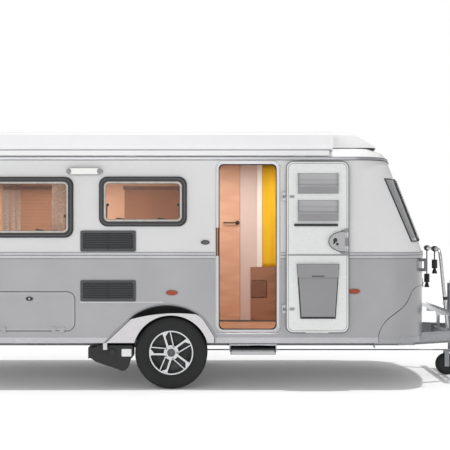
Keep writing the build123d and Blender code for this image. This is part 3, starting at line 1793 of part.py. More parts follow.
# Bicycle carrier on the drawbar: a leaning post with a crossbar, arms and two crosswise trays
carrier_r = 16.0
carrier_foot_x = jockey_member_x + 30.0
carrier_foot_y = -250.0
carrier_top_x = 1930.0
carrier_top_z = 1208.0
carrier_bar_end = 450.0
carrier_bend = 90.0
carrier_arm_rear = 1895.0
carrier_arm_front = 2230.0
carrier_arm_half = 15.0
carrier_arm_low = 590.0
tray_low = 620.0
tray_high = 655.0
tray_skin = 4.0
tray_half = 650.0
tray_spans = ((1900.0, 1964.0), (2130.0, 2194.0))
with BuildPart() as bike_carrier:
    with BuildLine() as post_line:
        FilletPolyline(
            (carrier_foot_x, carrier_foot_y, member_low + member_height),
            (carrier_top_x, carrier_foot_y, carrier_top_z),
            (carrier_top_x, carrier_bar_end, carrier_top_z),
            radius=carrier_bend,
        )
    with BuildSketch(Plane(origin=post_line.line @ 0, z_dir=post_line.line % 0)):
        Circle(carrier_r)
    sweep(path=post_line.line)
    for arm_y in (carrier_foot_y, -carrier_foot_y):
        block(
            carrier_arm_rear,
            carrier_arm_front,
            arm_y - carrier_arm_half,
            arm_y + carrier_arm_half,
            carrier_arm_low,
            tray_low,
        )
    block(
        carrier_foot_x - carrier_arm_half,
        carrier_foot_x + carrier_arm_half,
        -carrier_foot_y - carrier_arm_half,
        -carrier_foot_y + carrier_arm_half,
        member_low + member_height,
        tray_low,
    )
    block(
        carrier_foot_x - carrier_arm_half,
        carrier_foot_x + carrier_arm_half,
        carrier_foot_y,
        -carrier_foot_y,
        carrier_arm_low,
        tray_low,
    )
    block(
        carrier_foot_x - carrier_arm_half,
        carrier_foot_x + carrier_arm_half,
        carrier_foot_y - carrier_arm_half,
        carrier_foot_y + carrier_arm_half,
        member_low + member_height,
        member_low + member_height + carrier_arm_half,
    )
    block(
        carrier_foot_x - overrun,
        carrier_foot_x + overrun,
        carrier_foot_y - overrun,
        carrier_foot_y + overrun,
        member_low,
        member_low + member_height,
        mode=Mode.SUBTRACT,
    )
    for low, high in tray_spans:
        block(low, high, -tray_half, tray_half, tray_low, tray_high)
        block(
            low + tray_skin,
            high - tray_skin,
            -tray_half,
            tray_half,
            tray_low + tray_skin,
            tray_high + overrun,
            mode=Mode.SUBTRACT,
        )
bike_carrier.part.label = "bike_carrier"
export_step(bike_carrier.part, "parts/bike_carrier.step")

# Frame holders that hang from the crossbar
holder_head_r = 27.0
holder_head_half = 32.0
holder_rod_r = 6.0
holder_grip_r = 27.0
holder_waist_r = 12.0
holder_grip_high = 84.0
holder_foot_high = 50.0
holder_places = ((10.0, 1104.0), (424.0, 950.0))
with BuildPart() as bike_holders:
    for holder_y, grip_top in holder_places:
        hold_low = holder_y - holder_head_half
        hold_high = min(holder_y + holder_head_half, carrier_bar_end)
        rod_y(carrier_top_x, carrier_top_z, hold_low, hold_high, holder_head_r)
        rod_y(carrier_top_x, carrier_top_z, hold_low, hold_high, carrier_r, mode=Mode.SUBTRACT)
        rod_z(carrier_top_x, holder_y, grip_top, carrier_top_z - carrier_r - holder_rod_r, holder_rod_r)
        rod_z(carrier_top_x, holder_y, grip_top - holder_grip_high, grip_top, holder_grip_r)
        foot_top = grip_top - holder_grip_high
        with BuildSketch(Plane.XY.offset(foot_top)):
            with Locations((carrier_top_x, holder_y)):
                Circle(holder_waist_r)
        with BuildSketch(Plane.XY.offset(foot_top - holder_foot_high)):
            with Locations((carrier_top_x, holder_y)):
                Circle(holder_grip_r)
        loft()
bike_holders.part.label = "bike_holders"
export_step(bike_holders.part, "parts/bike_holders.step")

# Entrance step under the doorway: runners below the floor and a tread that slides out
step_rear = -50.0
step_front = 361.0
step_runner = 8.0
step_outer_y = 1012.0
step_inner_y = 752.0
step_runner_low = 330.0
step_tread_low = 342.0
step_tread_high = 357.0
step_nose_low = 308.0
step_nose_out = 1030.0
step_rail_low = 386.0
step_rail_high = 402.0
step_gap = 0.3
with BuildPart() as step_runners:
    for runner_x in (step_rear, step_front - step_runner):
        block(
            runner_x,
            runner_x + step_runner,
            -step_outer_y,
            -step_inner_y,
            step_runner_low,
            sill_rail_top,
        )
    block(
        step_rear,
        step_front,
        -step_outer_y,
        step_runner * 3 - step_outer_y,
        step_rail_low,
        step_rail_high,
    )

with BuildPart() as floor_brackets:
    add(steady_brackets.part)
    add(step_runners.part)
floor_brackets.part.label = "floor_brackets"
export_step(floor_brackets.part, "parts/floor_brackets.step")

with BuildPart() as step_tread:
    block(
        step_rear + step_runner + step_gap,
        step_front - step_runner - step_gap,
        -step_nose_out,
        -step_inner_y,
        step_tread_low,
        step_tread_high,
    )
    block(
        step_rear + step_runner + step_gap,
        step_front - step_runner - step_gap,
        -step_nose_out,
        step_runner - step_nose_out,
        step_nose_low,
        step_tread_high,
    )
step_tread.part.label = "step_tread"
export_step(step_tread.part, "parts/step_tread.step")

# Manoeuvring motors behind the wheels, on a cross tube under the beams
motor_rear = -1213.0
motor_front = -896.0
motor_out = 985.0
motor_in = 790.0
motor_low = 270.0
motor_high = 383.0
motor_edge = 18.0
motor_tail = 60.0
roller_x = -985.0
roller_z = 208.0
roller_r = 48.0
motor_tube_x = -1262.0
motor_tube_z = 333.0
motor_tube_r = 22.0
motor_clamp = 50.0
with BuildPart() as mover_units:
    rod_y(motor_tube_x, motor_tube_z, -motor_out, motor_out, motor_tube_r)
    for side in (-1, 1):
        y_low = min(side * motor_out, side * motor_in)
        y_high = max(side * motor_out, side * motor_in)
        side_slab(motor_rear, motor_front, motor_low, motor_high, y_low, y_high, motor_edge)
        with BuildSketch(Plane.XZ.offset(-y_high)) as arm:
            with BuildLine():
                Polyline(
                    (motor_tube_x, motor_low),
                    (motor_front - motor_edge, motor_low + motor_edge),
                    (roller_x + roller_r, roller_z),
                    (roller_x, roller_z - roller_r),
                    (motor_rear - motor_edge / 2, motor_low - motor_tail / 2),
                    close=True,
                )
            make_face()
        extrude(amount=motor_out - motor_in)
        rod_y(roller_x, roller_z, y_low, y_high, roller_r)
        block(
            motor_tube_x - motor_clamp / 2,
            motor_rear + motor_edge,
            y_low,
            y_high,
            motor_low,
            motor_high - motor_edge,
        )
        block(
            motor_tube_x - motor_clamp / 2,
            motor_tube_x + motor_clamp / 2,
            side * beam_y - motor_clamp / 2,
            side * beam_y + motor_clamp / 2,
            motor_tube_z,
            rail_low,
        )
mover_units.part.label = "mover_units"
export_step(mover_units.part, "parts/mover_units.step")

# Inside furniture, seen through the doorway and the windows
furniture_gap = 2.0
bench_high = 880.0
cushion_high = 1010.0
cushion_gap = 6.0
front_bench_rear = 560.0
front_bench_front = 1236.0
rear_bench_front = -1400.0
rear_bench_rear = -2930.0
service_far_y = 940.0
service_front = -1450.0
service_rear = -2820.0
service_low = 506.0
service_high = 868.0
kitchen_rear = -1330.0
kitchen_front = -200.0
kitchen_inner_y = -560.0
kitchen_high = 1390.0
kitchen_top = 30.0
kitchen_plinth = 60.0
washroom_rear = -420.0
washroom_front = 460.0
washroom_inner_y = 90.0
washroom_high = 1975.0
door_line = 6.0
door_line_depth = 4.0
washroom_door_rear = -200.0
washroom_door_front = 230.0
washroom_door_low = 560.0
with BuildPart() as sleeping_benches:
    with BuildSketch(Plane.XY.offset(floor_top)):
        add(body_plan(wall + furniture_gap, front_x, rear_x))
    extrude(amount=bench_high - floor_top)
    block(rear_bench_front, front_bench_rear, -far, far, 0, far + far, mode=Mode.SUBTRACT)
    block(front_bench_front, front_x, -far, far, 0, far + far, mode=Mode.SUBTRACT)
    block(service_rear, service_front, -far, service_far_y, service_low, service_high, mode=Mode.SUBTRACT)
    for y_low, y_high in ((-far, -wheel_box_y), (wheel_box_y, far)):
        add(arch_solid(wheel_box_skin + furniture_gap, y_low - overrun, y_high), mode=Mode.SUBTRACT)
sleeping_benches.part.label = "sleeping_benches"
export_step(sleeping_benches.part, "parts/sleeping_benches.step")

with BuildPart() as bench_cushions:
    with BuildSketch(Plane.XY.offset(bench_high + rest_gap)):
        add(body_plan(wall + cushion_gap, front_x, rear_x))
    extrude(amount=cushion_high - bench_high - rest_gap)
    block(rear_bench_front, front_bench_rear, -far, far, 0, far + far, mode=Mode.SUBTRACT)
    block(front_bench_front, front_x, -far, far, 0, far + far, mode=Mode.SUBTRACT)
bench_cushions.part.label = "bench_cushions"
export_step(bench_cushions.part, "parts/bench_cushions.step")

with BuildPart() as kitchen_unit:
    block(kitchen_rear, kitchen_front, furniture_gap - side_y, kitchen_inner_y, floor_top, kitchen_high)
    block(
        kitchen_rear,
        kitchen_front,
        kitchen_inner_y,
        kitchen_inner_y + kitchen_plinth / 2,
        kitchen_high - kitchen_top,
        kitchen_high,
    )
    add(arch_solid(wheel_box_skin + furniture_gap, -far, furniture_gap - wheel_box_y), mode=Mode.SUBTRACT)
kitchen_unit.part.label = "kitchen_unit"
export_step(kitchen_unit.part, "parts/kitchen_unit.step")

with BuildPart() as washroom_unit:
    block(washroom_rear, washroom_front, washroom_inner_y, side_y - furniture_gap, floor_top, washroom_high)
    add(arch_solid(wheel_box_skin + furniture_gap, wheel_box_y - furniture_gap, far), mode=Mode.SUBTRACT)
    for line_x in (washroom_door_rear, washroom_door_front):
        block(
            line_x,
            line_x + door_line,
            washroom_inner_y,
            washroom_inner_y + door_line_depth,
            washroom_door_low,
            washroom_high,
            mode=Mode.SUBTRACT,
        )
washroom_unit.part.label = "washroom_unit"
export_step(washroom_unit.part, "parts/washroom_unit.step")

# Curtains beside the rear side windows, and the yellow one beyond the doorway
curtain_width = 190.0
curtain_thick = 26.0
curtain_low = 1300.0
curtain_high = 1880.0
curtain_rear_step = 10.0
with BuildPart() as curtains:
    for side in (-1, 1):
        face = side * side_y
        back = side * (side_y - curtain_thick)
        for low in (rear_window_rear + curtain_rear_step, rear_window_front - curtain_width):
            block(low, low + curtain_width, min(face, back), max(face, back), curtain_low, curtain_high)
curtains.part.label = "curtains"
export_step(curtains.part, "parts/curtains.step")

# Rear lamp clusters and the grab handles at the corners
tail_lamp_y = 800.0
tail_lamp_half = 58.0
tail_lamp_low = 560.0
tail_lamp_high = 960.0
tail_lamp_proud = 18.0
with BuildPart() as tail_lamps:
    add(ring_band(-tail_lamp_proud, 0, tail_lamp_low, tail_lamp_high))
    block(rear_x - overrun, side_rear_x, -far, far, tail_lamp_low, tail_lamp_high, mode=Mode.INTERSECT)
    block(
        rear_x - overrun,
        side_rear_x,
        tail_lamp_half - tail_lamp_y,
        tail_lamp_y - tail_lamp_half,
        tail_lamp_low,
        tail_lamp_high,
        mode=Mode.SUBTRACT,
    )
    for y_low, y_high in ((-far, -tail_lamp_y - tail_lamp_half), (tail_lamp_y + tail_lamp_half, far)):
        block(rear_x - overrun, side_rear_x, y_low, y_high, tail_lamp_low, tail_lamp_high, mode=Mode.SUBTRACT)
tail_lamps.part.label = "tail_lamps"
export_step(tail_lamps.part, "parts/tail_lamps.step")

handle_y = 880.0
handle_low = 1028.0
handle_high = 1142.0
handle_half = 12.0
handle_out = 56.0
handle_bar = 14.0
handle_foot = 26.0
handle_base = 6.0
corner_centre_y = half_width - corner_r
handle_face = (corner_r**2 - (handle_y - corner_centre_y) ** 2) ** 0.5
with BuildPart() as grab_handles:
    for end_x, way in ((side_front_x, 1), (side_rear_x, -1)):
        for side in (-1, 1):
            inner = end_x
            outer = end_x + way * (handle_face + handle_out)
            y_low = side * handle_y - handle_half
            block(min(inner, outer), max(inner, outer), y_low, y_low + handle_half * 2, handle_low, handle_high)
            hollow = end_x + way * (handle_face + handle_out - handle_bar)
            block(
                min(inner - way * overrun, hollow),
                max(inner - way * overrun, hollow),
                y_low,
                y_low + handle_half * 2,
                handle_low + handle_foot,
                handle_high - handle_foot,
                mode=Mode.SUBTRACT,
            )
    with BuildSketch(Plane.XY.offset(handle_low)):
        add(body_plan(0, front_x, rear_x))
    extrude(amount=handle_high - handle_low, mode=Mode.SUBTRACT)
grab_handles.part.label = "grab_handles"
export_step(grab_handles.part, "parts/grab_handles.step")
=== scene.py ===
import math

import bmesh
import bpy
import numpy as np
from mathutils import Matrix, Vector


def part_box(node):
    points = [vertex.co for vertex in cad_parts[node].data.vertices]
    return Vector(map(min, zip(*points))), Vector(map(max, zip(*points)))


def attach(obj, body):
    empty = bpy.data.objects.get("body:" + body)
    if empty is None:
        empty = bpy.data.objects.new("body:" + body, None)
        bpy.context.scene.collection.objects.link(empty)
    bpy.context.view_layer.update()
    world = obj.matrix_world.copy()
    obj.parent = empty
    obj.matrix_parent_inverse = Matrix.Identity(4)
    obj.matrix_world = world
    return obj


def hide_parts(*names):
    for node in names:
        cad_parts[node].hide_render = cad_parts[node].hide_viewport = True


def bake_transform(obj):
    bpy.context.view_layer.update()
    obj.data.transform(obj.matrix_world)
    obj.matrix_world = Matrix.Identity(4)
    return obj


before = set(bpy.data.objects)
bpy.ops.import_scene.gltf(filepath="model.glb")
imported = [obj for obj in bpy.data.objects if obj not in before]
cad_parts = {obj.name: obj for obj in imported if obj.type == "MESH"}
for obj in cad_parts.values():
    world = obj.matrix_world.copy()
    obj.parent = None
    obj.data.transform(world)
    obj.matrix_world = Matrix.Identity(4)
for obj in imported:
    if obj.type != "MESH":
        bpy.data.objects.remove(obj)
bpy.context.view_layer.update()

# Places on the caravan in metres: X runs forward, Y away from the door, Z up
AXLE_X, AXLE_Z = -0.560, 0.318
HALF_WIDTH = 1.050
SKIRT, BELT_HIGH, RAIL_LOW = 0.411, 1.195, 2.000
FRONT_X, REAR_X = 1.760, -2.980
FRONT_RAKE, REAR_RAKE = 0.318, 0.120
CORNER_R, CORNER_TURN = 0.300, math.radians(75)
SIDES = ((-1, "near"), (1, "far"))


# Colour and shader helpers

def linear(colour):
    """Turns an sRGB hex value to linear.

    A channel c becomes c/12.92 up to 0.04045, otherwise ((c + 0.055)/1.055) to the power 2.4.
    """
    values = np.array([int(colour[i : i + 2], 16) for i in (1, 3, 5)]) / 255
    straight = np.where(values <= 0.04045, values / 12.92, ((values + 0.055) / 1.055) ** 2.4)
    return (*straight.tolist(), 1.0)


def add(tree, kind, *filled, **settings):
    """Adds one shader node with its settings and links.

    The filled values go to its inputs in order; a setting goes to the input or the property of that name.
    """
    made = tree.nodes.new(kind)
    wanted = list(zip(made.inputs, filled))
    for name, value in settings.items():
        target = next((socket for socket in made.inputs if socket.name == name.replace("_", " ")), None)
        if target is None:
            setattr(made, name, value)
        else:
            wanted.append((target, value))
    for target, value in wanted:
        if isinstance(value, bpy.types.NodeSocket):
            tree.links.new(value, target)
        else:
            target.default_value = value
    return made


def new_material(name):
    """A new node material: gives it, its tree and its surface shader."""
    material = bpy.data.materials.new(name)
    material.use_nodes = True
    return material, material.node_tree, material.node_tree.nodes["Principled BSDF"]


def set_inputs(shader, **values):
    """Sets a shader's own sockets by their names."""
    for name, value in values.items():
        shader.inputs[name.replace("_", " ")].default_value = value


def finish_of(name, dark, light, roughness, size, bump, metallic=0.0, stretch=(1, 1, 1), **more):
    """A finish whose colour wanders between two tones with a noise of the given grain size in metres.

    A broad noise, half as strong, shifts the tone over larger areas. The fine one also raises the surface
    by the bump height in metres and moves the roughness up and down a little.
    """
    broad_scale, rough_spread, least_roughness = 2.3, 0.08, 0.02
    material, tree, shader = new_material(name)
    where = add(tree, "ShaderNodeTexCoord").outputs["Object"]
    placed = add(tree, "ShaderNodeMapping", Vector=where, Scale=stretch)
    noise = add(tree, "ShaderNodeTexNoise", Vector=placed.outputs["Vector"], Scale=1 / size, Detail=4.0)
    grain = noise.outputs["Fac"]
    broad = add(tree, "ShaderNodeTexNoise", Vector=where, Scale=broad_scale, Detail=2.0).outputs["Fac"]
    mixed = add(tree, "ShaderNodeMath", broad, 0.5, grain, operation="MULTIPLY_ADD")
    ramp = add(tree, "ShaderNodeValToRGB", Fac=mixed.outputs[0])
    for end, place, colour in zip(ramp.color_ramp.elements, (0.45, 1.0), (dark, light)):
        end.position, end.color = place, linear(colour)
    least, most = max(roughness - rough_spread, least_roughness), roughness + rough_spread
    rough = add(tree, "ShaderNodeMapRange", Value=grain, To_Min=least, To_Max=most)
    raised = add(tree, "ShaderNodeBump", Height=grain, Strength=1.0, Distance=bump)
    tree.links.new(ramp.outputs["Color"], shader.inputs["Base Color"])
    tree.links.new(rough.outputs["Result"], shader.inputs["Roughness"])
    tree.links.new(raised.outputs["Normal"], shader.inputs["Normal"])
    set_inputs(shader, Metallic=metallic, **more)
    return material


def wood_of(name, dark, light, band):
    """Printed wood laminate: bands of a width in metres, drawn out along X and broken by a fine grain."""
    along_x = (0.06, 1.0, 1.0)
    material, tree, shader = new_material(name)
    where = add(tree, "ShaderNodeTexCoord").outputs["Object"]
    placed = add(tree, "ShaderNodeMapping", Vector=where, Scale=along_x).outputs["Vector"]
    wave = add(tree, "ShaderNodeTexWave", Vector=placed, Scale=1 / band, Distortion=5.0, Detail=3.0)
    grain = add(tree, "ShaderNodeTexNoise", Vector=placed, Scale=140.0, Detail=6.0).outputs["Fac"]
    mixed = add(tree, "ShaderNodeMath", grain, 0.6, wave.outputs["Fac"], operation="MULTIPLY_ADD")
    ramp = add(tree, "ShaderNodeValToRGB", Fac=mixed.outputs[0])
    for end, place, colour in zip(ramp.color_ramp.elements, (0.25, 1.0), (dark, light)):
        end.position, end.color = place, linear(colour)
    raised = add(tree, "ShaderNodeBump", Height=grain, Strength=1.0, Distance=0.00008)
    tree.links.new(ramp.outputs["Color"], shader.inputs["Base Color"])
    tree.links.new(raised.outputs["Normal"], shader.inputs["Normal"])
    set_inputs(shader, Roughness=0.42)
    return material


def acrylic_of(name, dark, light):
    """Cast acrylic that the cabin shows through, its tint wandering between two tones."""
    material, tree, shader = new_material(name)
    where = add(tree, "ShaderNodeTexCoord").outputs["Object"]
    haze = add(tree, "ShaderNodeTexNoise", Vector=where, Scale=6.0, Detail=2.0)
    tone = add(tree, "ShaderNodeValToRGB", Fac=haze.outputs["Fac"])
    for end, colour in zip(tone.color_ramp.elements, (dark, light)):
        end.color = linear(colour)
    tree.links.new(tone.outputs["Color"], shader.inputs["Base Color"])
    set_inputs(shader, Transmission_Weight=1.0, Roughness=0.02, IOR=1.49)
    return material


def let_light_through(material, share):
    """Mixes a translucent layer of the same colour into a thin cloth."""
    tree = material.node_tree
    shader = tree.nodes["Principled BSDF"]
    back = add(tree, "ShaderNodeBsdfTranslucent", Color=shader.inputs["Base Color"].links[0].from_socket)
    mixed = add(tree, "ShaderNodeMixShader", share, shader.outputs[0], back.outputs[0])
    tree.links.new(mixed.outputs[0], tree.nodes["Material Output"].inputs["Surface"])
    return material


# Coated aluminium wall skin: smooth white lacquer with a faint orange peel
WALL_WHITE = finish_of(
    "lacquered_aluminium_white", "#D2D2D3", "#DADADB", 0.34, 0.004, 0.00003, Coat_Weight=0.25
)
# Metallic lacquer on the lower skin: fine flake, softer gloss
WALL_SILVER = finish_of(
    "metallic_lacquer_silver", "#98989B", "#ABABAD", 0.36, 0.0015, 0.00002, metallic=0.55, Coat_Weight=0.3
)
# Moulded glass fibre with a gel coat, slightly wavy and glossy
GEL_COAT = finish_of("gel_coat_white", "#F2F2F3", "#F9F9F9", 0.25, 0.03, 0.0001, Coat_Weight=0.4)
# Thermoformed door lining, a shade greener and greyer than the gel coat, with soft gloss
DOOR_WHITE = finish_of("thermoformed_door_skin", "#DADCDC", "#E2E4E3", 0.3, 0.02, 0.00006, Coat_Weight=0.3)
# Moulded fender, a shade greyer than the wall
FENDER_WHITE = finish_of("moulded_abs_fender", "#CDCBCD", "#D8D6D8", 0.3, 0.02, 0.00008, Coat_Weight=0.2)
# Powder coated aluminium extrusion: a fine pebbled gloss; it also makes the pale strip of painted highlight
# along the crease under the lower grille
POWDER_WHITE_AND_HIGHLIGHT = finish_of("powder_coat_white_and_painted_highlight", "#E4E4E6", "#EDEDEE", 0.36, 0.0012, 0.00004)
# Anodised trim strip, brushed along its length; it also makes light lines of painted highlight on the door
# pockets' lips and inside the service flap's seal
TRIM_AND_HIGHLIGHT = finish_of(
    "anodised_trim_and_painted_highlight", "#A9A9AC", "#C4C4C7", 0.32, 0.002, 0.00002, metallic=0.85, stretch=(0.05, 1, 1)
)
# Vulcanised rubber profile, dull and slightly dusty
RUBBER = finish_of("rubber_profile", "#26272A", "#3C3D40", 0.62, 0.006, 0.00006)
# Extruded black seal, smoother and darker than the rubber, and the grey filler pressed into the rails; both
# also make dark lines and sheets of painted shadow and shade
SEAL_AND_SHADE = finish_of("black_seal_and_painted_shade", "#1C1D1F", "#2C2D30", 0.55, 0.004, 0.00004)
LINE_GREY = finish_of("grey_filler_and_painted_shadow_line", "#5C5D60", "#707174", 0.5, 0.004, 0.00003)
# Injection moulded black plastic with a spark-eroded grain
BLACK_PLASTIC = finish_of("moulded_black_plastic", "#191A1C", "#2A2B2D", 0.5, 0.0012, 0.00005)
# Tyre rubber, dusty towards the tread
TYRE = finish_of("tyre_rubber", "#0D0E0F", "#1B1C1D", 0.72, 0.008, 0.0001)
# Diamond-turned and lacquered cast alloy
ALLOY = finish_of("turned_alloy", "#B4B5B8", "#DDDEE0", 0.24, 0.0008, 0.00002, metallic=0.9, Coat_Weight=0.3)
# Satin black paint behind the spokes
WHEEL_BLACK = finish_of("satin_black_paint", "#0E0F10", "#1A1B1C", 0.4, 0.003, 0.00003)
# Hot dip galvanised steel: grey with a crystalline spangle
ZINC = finish_of("galvanised_steel", "#85878B", "#B4B6B9", 0.42, 0.012, 0.00004, metallic=0.75)
# Black chassis paint over steel, stone chipped
BLACK_STEEL = finish_of("black_chassis_paint", "#08090A", "#141516", 0.4, 0.005, 0.0001)
# Bright anodised aluminium of the bicycle carrier
BRIGHT = finish_of(
    "bright_anodised_tube", "#BFC1C4", "#E2E3E5", 0.25, 0.002, 0.00001, metallic=0.85, stretch=(1, 1, 0.1)
)
# Moulded fittings with a fine eroded grain, from pearl grey down to the near black of the grilles
POCKET_GREY = finish_of("moulded_pale_grey_pocket", "#A0A0A2", "#B2B2B4", 0.5, 0.0015, 0.00004)
# The mid grey also paints the shadow line under the ledge across the door
FITTING_GREY_AND_SHADE = finish_of("moulded_grey_polypropylene_and_shade", "#858587", "#939395", 0.45, 0.0015, 0.00004)
# The dark grey also paints the highlight line on the window rubbers and the shade round the door lock's
# recess
DARK_GREY = finish_of("moulded_dark_grey_highlight_and_shade", "#4C4D50", "#606164", 0.5, 0.0015, 0.00004)
GRILLE_GREY = finish_of("moulded_grille_grey", "#3A3B3D", "#4B4C4E", 0.45, 0.0012, 0.00004)
# Coated bellows cloth, woven and dull
BELLOWS = finish_of("coated_bellows_cloth", "#B9B4A8", "#CFCABD", 0.8, 0.0012, 0.0002)
# Acrylic lenses: deep colour under a clear gloss, and an opal one
AMBER = finish_of("amber_acrylic", "#8A2A00", "#A43C04", 0.15, 0.004, 0.00003, Coat_Weight=0.3)
RED_LENS = finish_of("red_acrylic", "#8C0A0C", "#B0181A", 0.15, 0.006, 0.00003, Coat_Weight=0.5)
LAMP_CLEAR = finish_of("opal_lens", "#E9E9E6", "#F6F6F2", 0.2, 0.006, 0.00002, Coat_Weight=0.4)
# Tinted acrylic of the windows, the frosted edge of a pane and its grey return round the body's corner
PANE = acrylic_of("tinted_acrylic", "#E6E1DA", "#EFEBE5")
EDGE_BAND = finish_of("frosted_acrylic_edge", "#A59E97", "#C6C0BA", 0.35, 0.05, 0.00002)
RETURN_GREY = finish_of("tinted_pane_return", "#77787A", "#8C8D8F", 0.15, 0.05, 0.00002, Coat_Weight=0.5)
# Woven furnishing cloths: dull, with a soft sheen; the thin ones let daylight through
CUSHION_CLOTH = finish_of("woven_cushion_cloth", "#7B6A58", "#9D8A74", 0.9, 0.0025, 0.0004, Sheen_Weight=0.3)
CURTAIN_BEIGE = let_light_through(
    finish_of("speckled_curtain_cloth", "#C4A594", "#F8F0EA", 0.9, 0.010, 0.0003, Sheen_Weight=0.2), 0.6
)
BLIND = let_light_through(finish_of("pleated_blind_cloth", "#C69678", "#D2A486", 0.9, 0.002, 0.0001), 0.4)
CURTAIN_YELLOW = finish_of(
    "yellow_curtain_cloth", "#E6B416", "#EEC020", 0.85, 0.002, 0.0002, Sheen_Weight=0.2
)
# Printed laminates of the cabinets and the floor, with satin gloss, and two plain ones
WOOD = wood_of("pear_wood_laminate", "#C48D68", "#D8A681", 0.16)
WOOD_FLOOR = wood_of("floor_laminate", "#A97C60", "#B98B6D", 0.12)
WOOD_LIGHT = wood_of("maple_wood_laminate", "#D7A78A", "#E0B497", 0.10)
WOOD_BROWN = wood_of("walnut_laminate", "#8C6249", "#9C7056", 0.10)
# The darkest laminate also paints the shade inside the cabinet's recess
WOOD_DARK_AND_RECESS_SHADE = wood_of("dark_laminate_and_painted_recess_shade", "#6B4630", "#7C5239", 0.10)
PALE_PANEL = finish_of("laminate_pale_grey", "#D2BDB6", "#DECAC3", 0.5, 0.004, 0.00003)
CREAM = finish_of("laminate_cream", "#E6E1D8", "#F1EDE6", 0.4, 0.004, 0.00003)
# Painted plywood of the floor panel's underside, dull and slightly rough
FLOOR_PLY = finish_of("painted_floor_plywood", "#77777A", "#8A8A8C", 0.7, 0.02, 0.0002)

NODE_FINISHES = {
    WALL_WHITE: "upper_wall_near upper_wall_far upper_wall_front upper_wall_rear",
    WALL_SILVER: "lower_wall_near lower_wall_far lower_wall_front lower_wall_rear gas_locker_lid"
    " service_flap",
    TRIM_AND_HIGHLIGHT: "body_rails door_hinge_leaves hinge_pins",
    GEL_COAT: "roof_shell roof_lid",
    BELLOWS: "roof_bellows",
    FLOOR_PLY: "floor_panel",
    FENDER_WHITE: "fenders",
    RUBBER: "window_rubbers",
    PANE: "window_panes",
    GRILLE_GREY: "wall_vents",
    AMBER: "side_markers",
    LAMP_CLEAR: "awning_lamp",
    POWDER_WHITE_AND_HIGHLIGHT: "awning_case door_frame",
    DOOR_WHITE: "door_panel",
    FITTING_GREY_AND_SHADE: "door_liner door_lock",
    DARK_GREY: "grab_handles",
    RED_LENS: "tail_lamps",
    TYRE: "tyre_near tyre_far jockey_tyre",
    ALLOY: "rim_near rim_far",
    ZINC: "axle chassis_frame floor_brackets steady_leg_front_near steady_leg_front_far steady_leg_rear_near"
    " steady_leg_rear_far jockey_tube jockey_stem jockey_fork",
    BLACK_STEEL: "coupling_head overrun_unit mover_units",
    BLACK_PLASTIC: "floor_boxes jockey_hub bike_holders step_tread",
    BRIGHT: "bike_carrier",
    WOOD: "sleeping_benches kitchen_unit washroom_unit",
    CUSHION_CLOTH: "bench_cushions",
    CURTAIN_BEIGE: "curtains",
}
for finish, node_names in NODE_FINISHES.items():
    for node_name in node_names.split():
        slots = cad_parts[node_name].data.materials
        slots.clear()
        slots.append(finish)


# Surfaces worked out as arrays

def piece(name, points, faces, finish, body="body", smooth=True):
    """Puts worked out points and faces into a mesh object, gives it a finish and lets it ride on a body."""
    mesh = bpy.data.meshes.new(name)
    mesh.from_pydata(np.asarray(points, float).reshape(-1, 3).tolist(), [], [tuple(f) for f in faces])
    mesh.validate()
    mesh.update()
    if smooth:
        mesh.shade_smooth()
    made = bpy.data.objects.new(name, mesh)
    bpy.context.scene.collection.objects.link(made)
    made.data.materials.append(finish)
    if body:
        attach(made, body)
    return made


def modified(made, kind, **settings):
    """Adds one modifier with its settings."""
    tool = made.modifiers.new(kind.title(), kind)
    for name, value in settings.items():
        setattr(tool, name, value)
    return made


def grid_faces(rows, columns, wrap_rows=False, wrap_columns=False):
    """Quads of a rows by columns grid of points: each joins a point to its next along both ways."""
    last_row = rows if wrap_rows else rows - 1
    last_column = columns if wrap_columns else columns - 1
    i, j = np.meshgrid(np.arange(last_row), np.arange(last_column), indexing="ij")
    i, j = i.ravel(), j.ravel()
    k, m = (i + 1) % rows, (j + 1) % columns
    return np.stack([i * columns + j, i * columns + m, k * columns + m, k * columns + j], 1).tolist()


def turned_round(name, profile, centre, finish, body, steps=64, lift=None, smooth=True):
    """A profile of (radius, y) points turned about an axis along Y.

    Each point lies at centre + (r cos a, y, r sin a); lift(a, r, y) may add to the radius.
    """
    profile = np.asarray(profile, float)
    angle = np.linspace(0, 2 * np.pi, steps, endpoint=False)[:, None]
    radius = np.broadcast_to(profile[:, 0], (steps, len(profile)))
    across = np.broadcast_to(profile[:, 1], (steps, len(profile)))
    if lift is not None:
        radius = radius + lift(angle, radius, across)
    points = np.stack(
        [centre[0] + radius * np.cos(angle), centre[1] + across, centre[2] + radius * np.sin(angle)], -1
    )
    return piece(name, points, grid_faces(steps, len(profile), wrap_rows=True), finish, body, smooth)


def smooth_path(points, per_span=8, closed=False):
    """Catmull-Rom curve: each span blends four neighbouring points with the usual cubic weights."""
    p = np.asarray(points, float)
    if closed:
        p = np.vstack([p[-1:], p, p[:2]])
    else:
        p = np.vstack([2 * p[0] - p[1], p, 2 * p[-1] - p[-2]])
    t = np.linspace(0, 1, per_span, endpoint=False)[:, None]
    a, b, c, d = p[:-3, None], p[1:-2, None], p[2:-1, None], p[3:, None]
    curve = 0.5 * (2 * b + (c - a) * t + (2 * a - 5 * b + 4 * c - d) * t**2 + (3 * b - a - 3 * c + d) * t**3)
    curve = curve.reshape(-1, p.shape[1])
    return curve if closed else np.vstack([curve, p[-2:-1]])


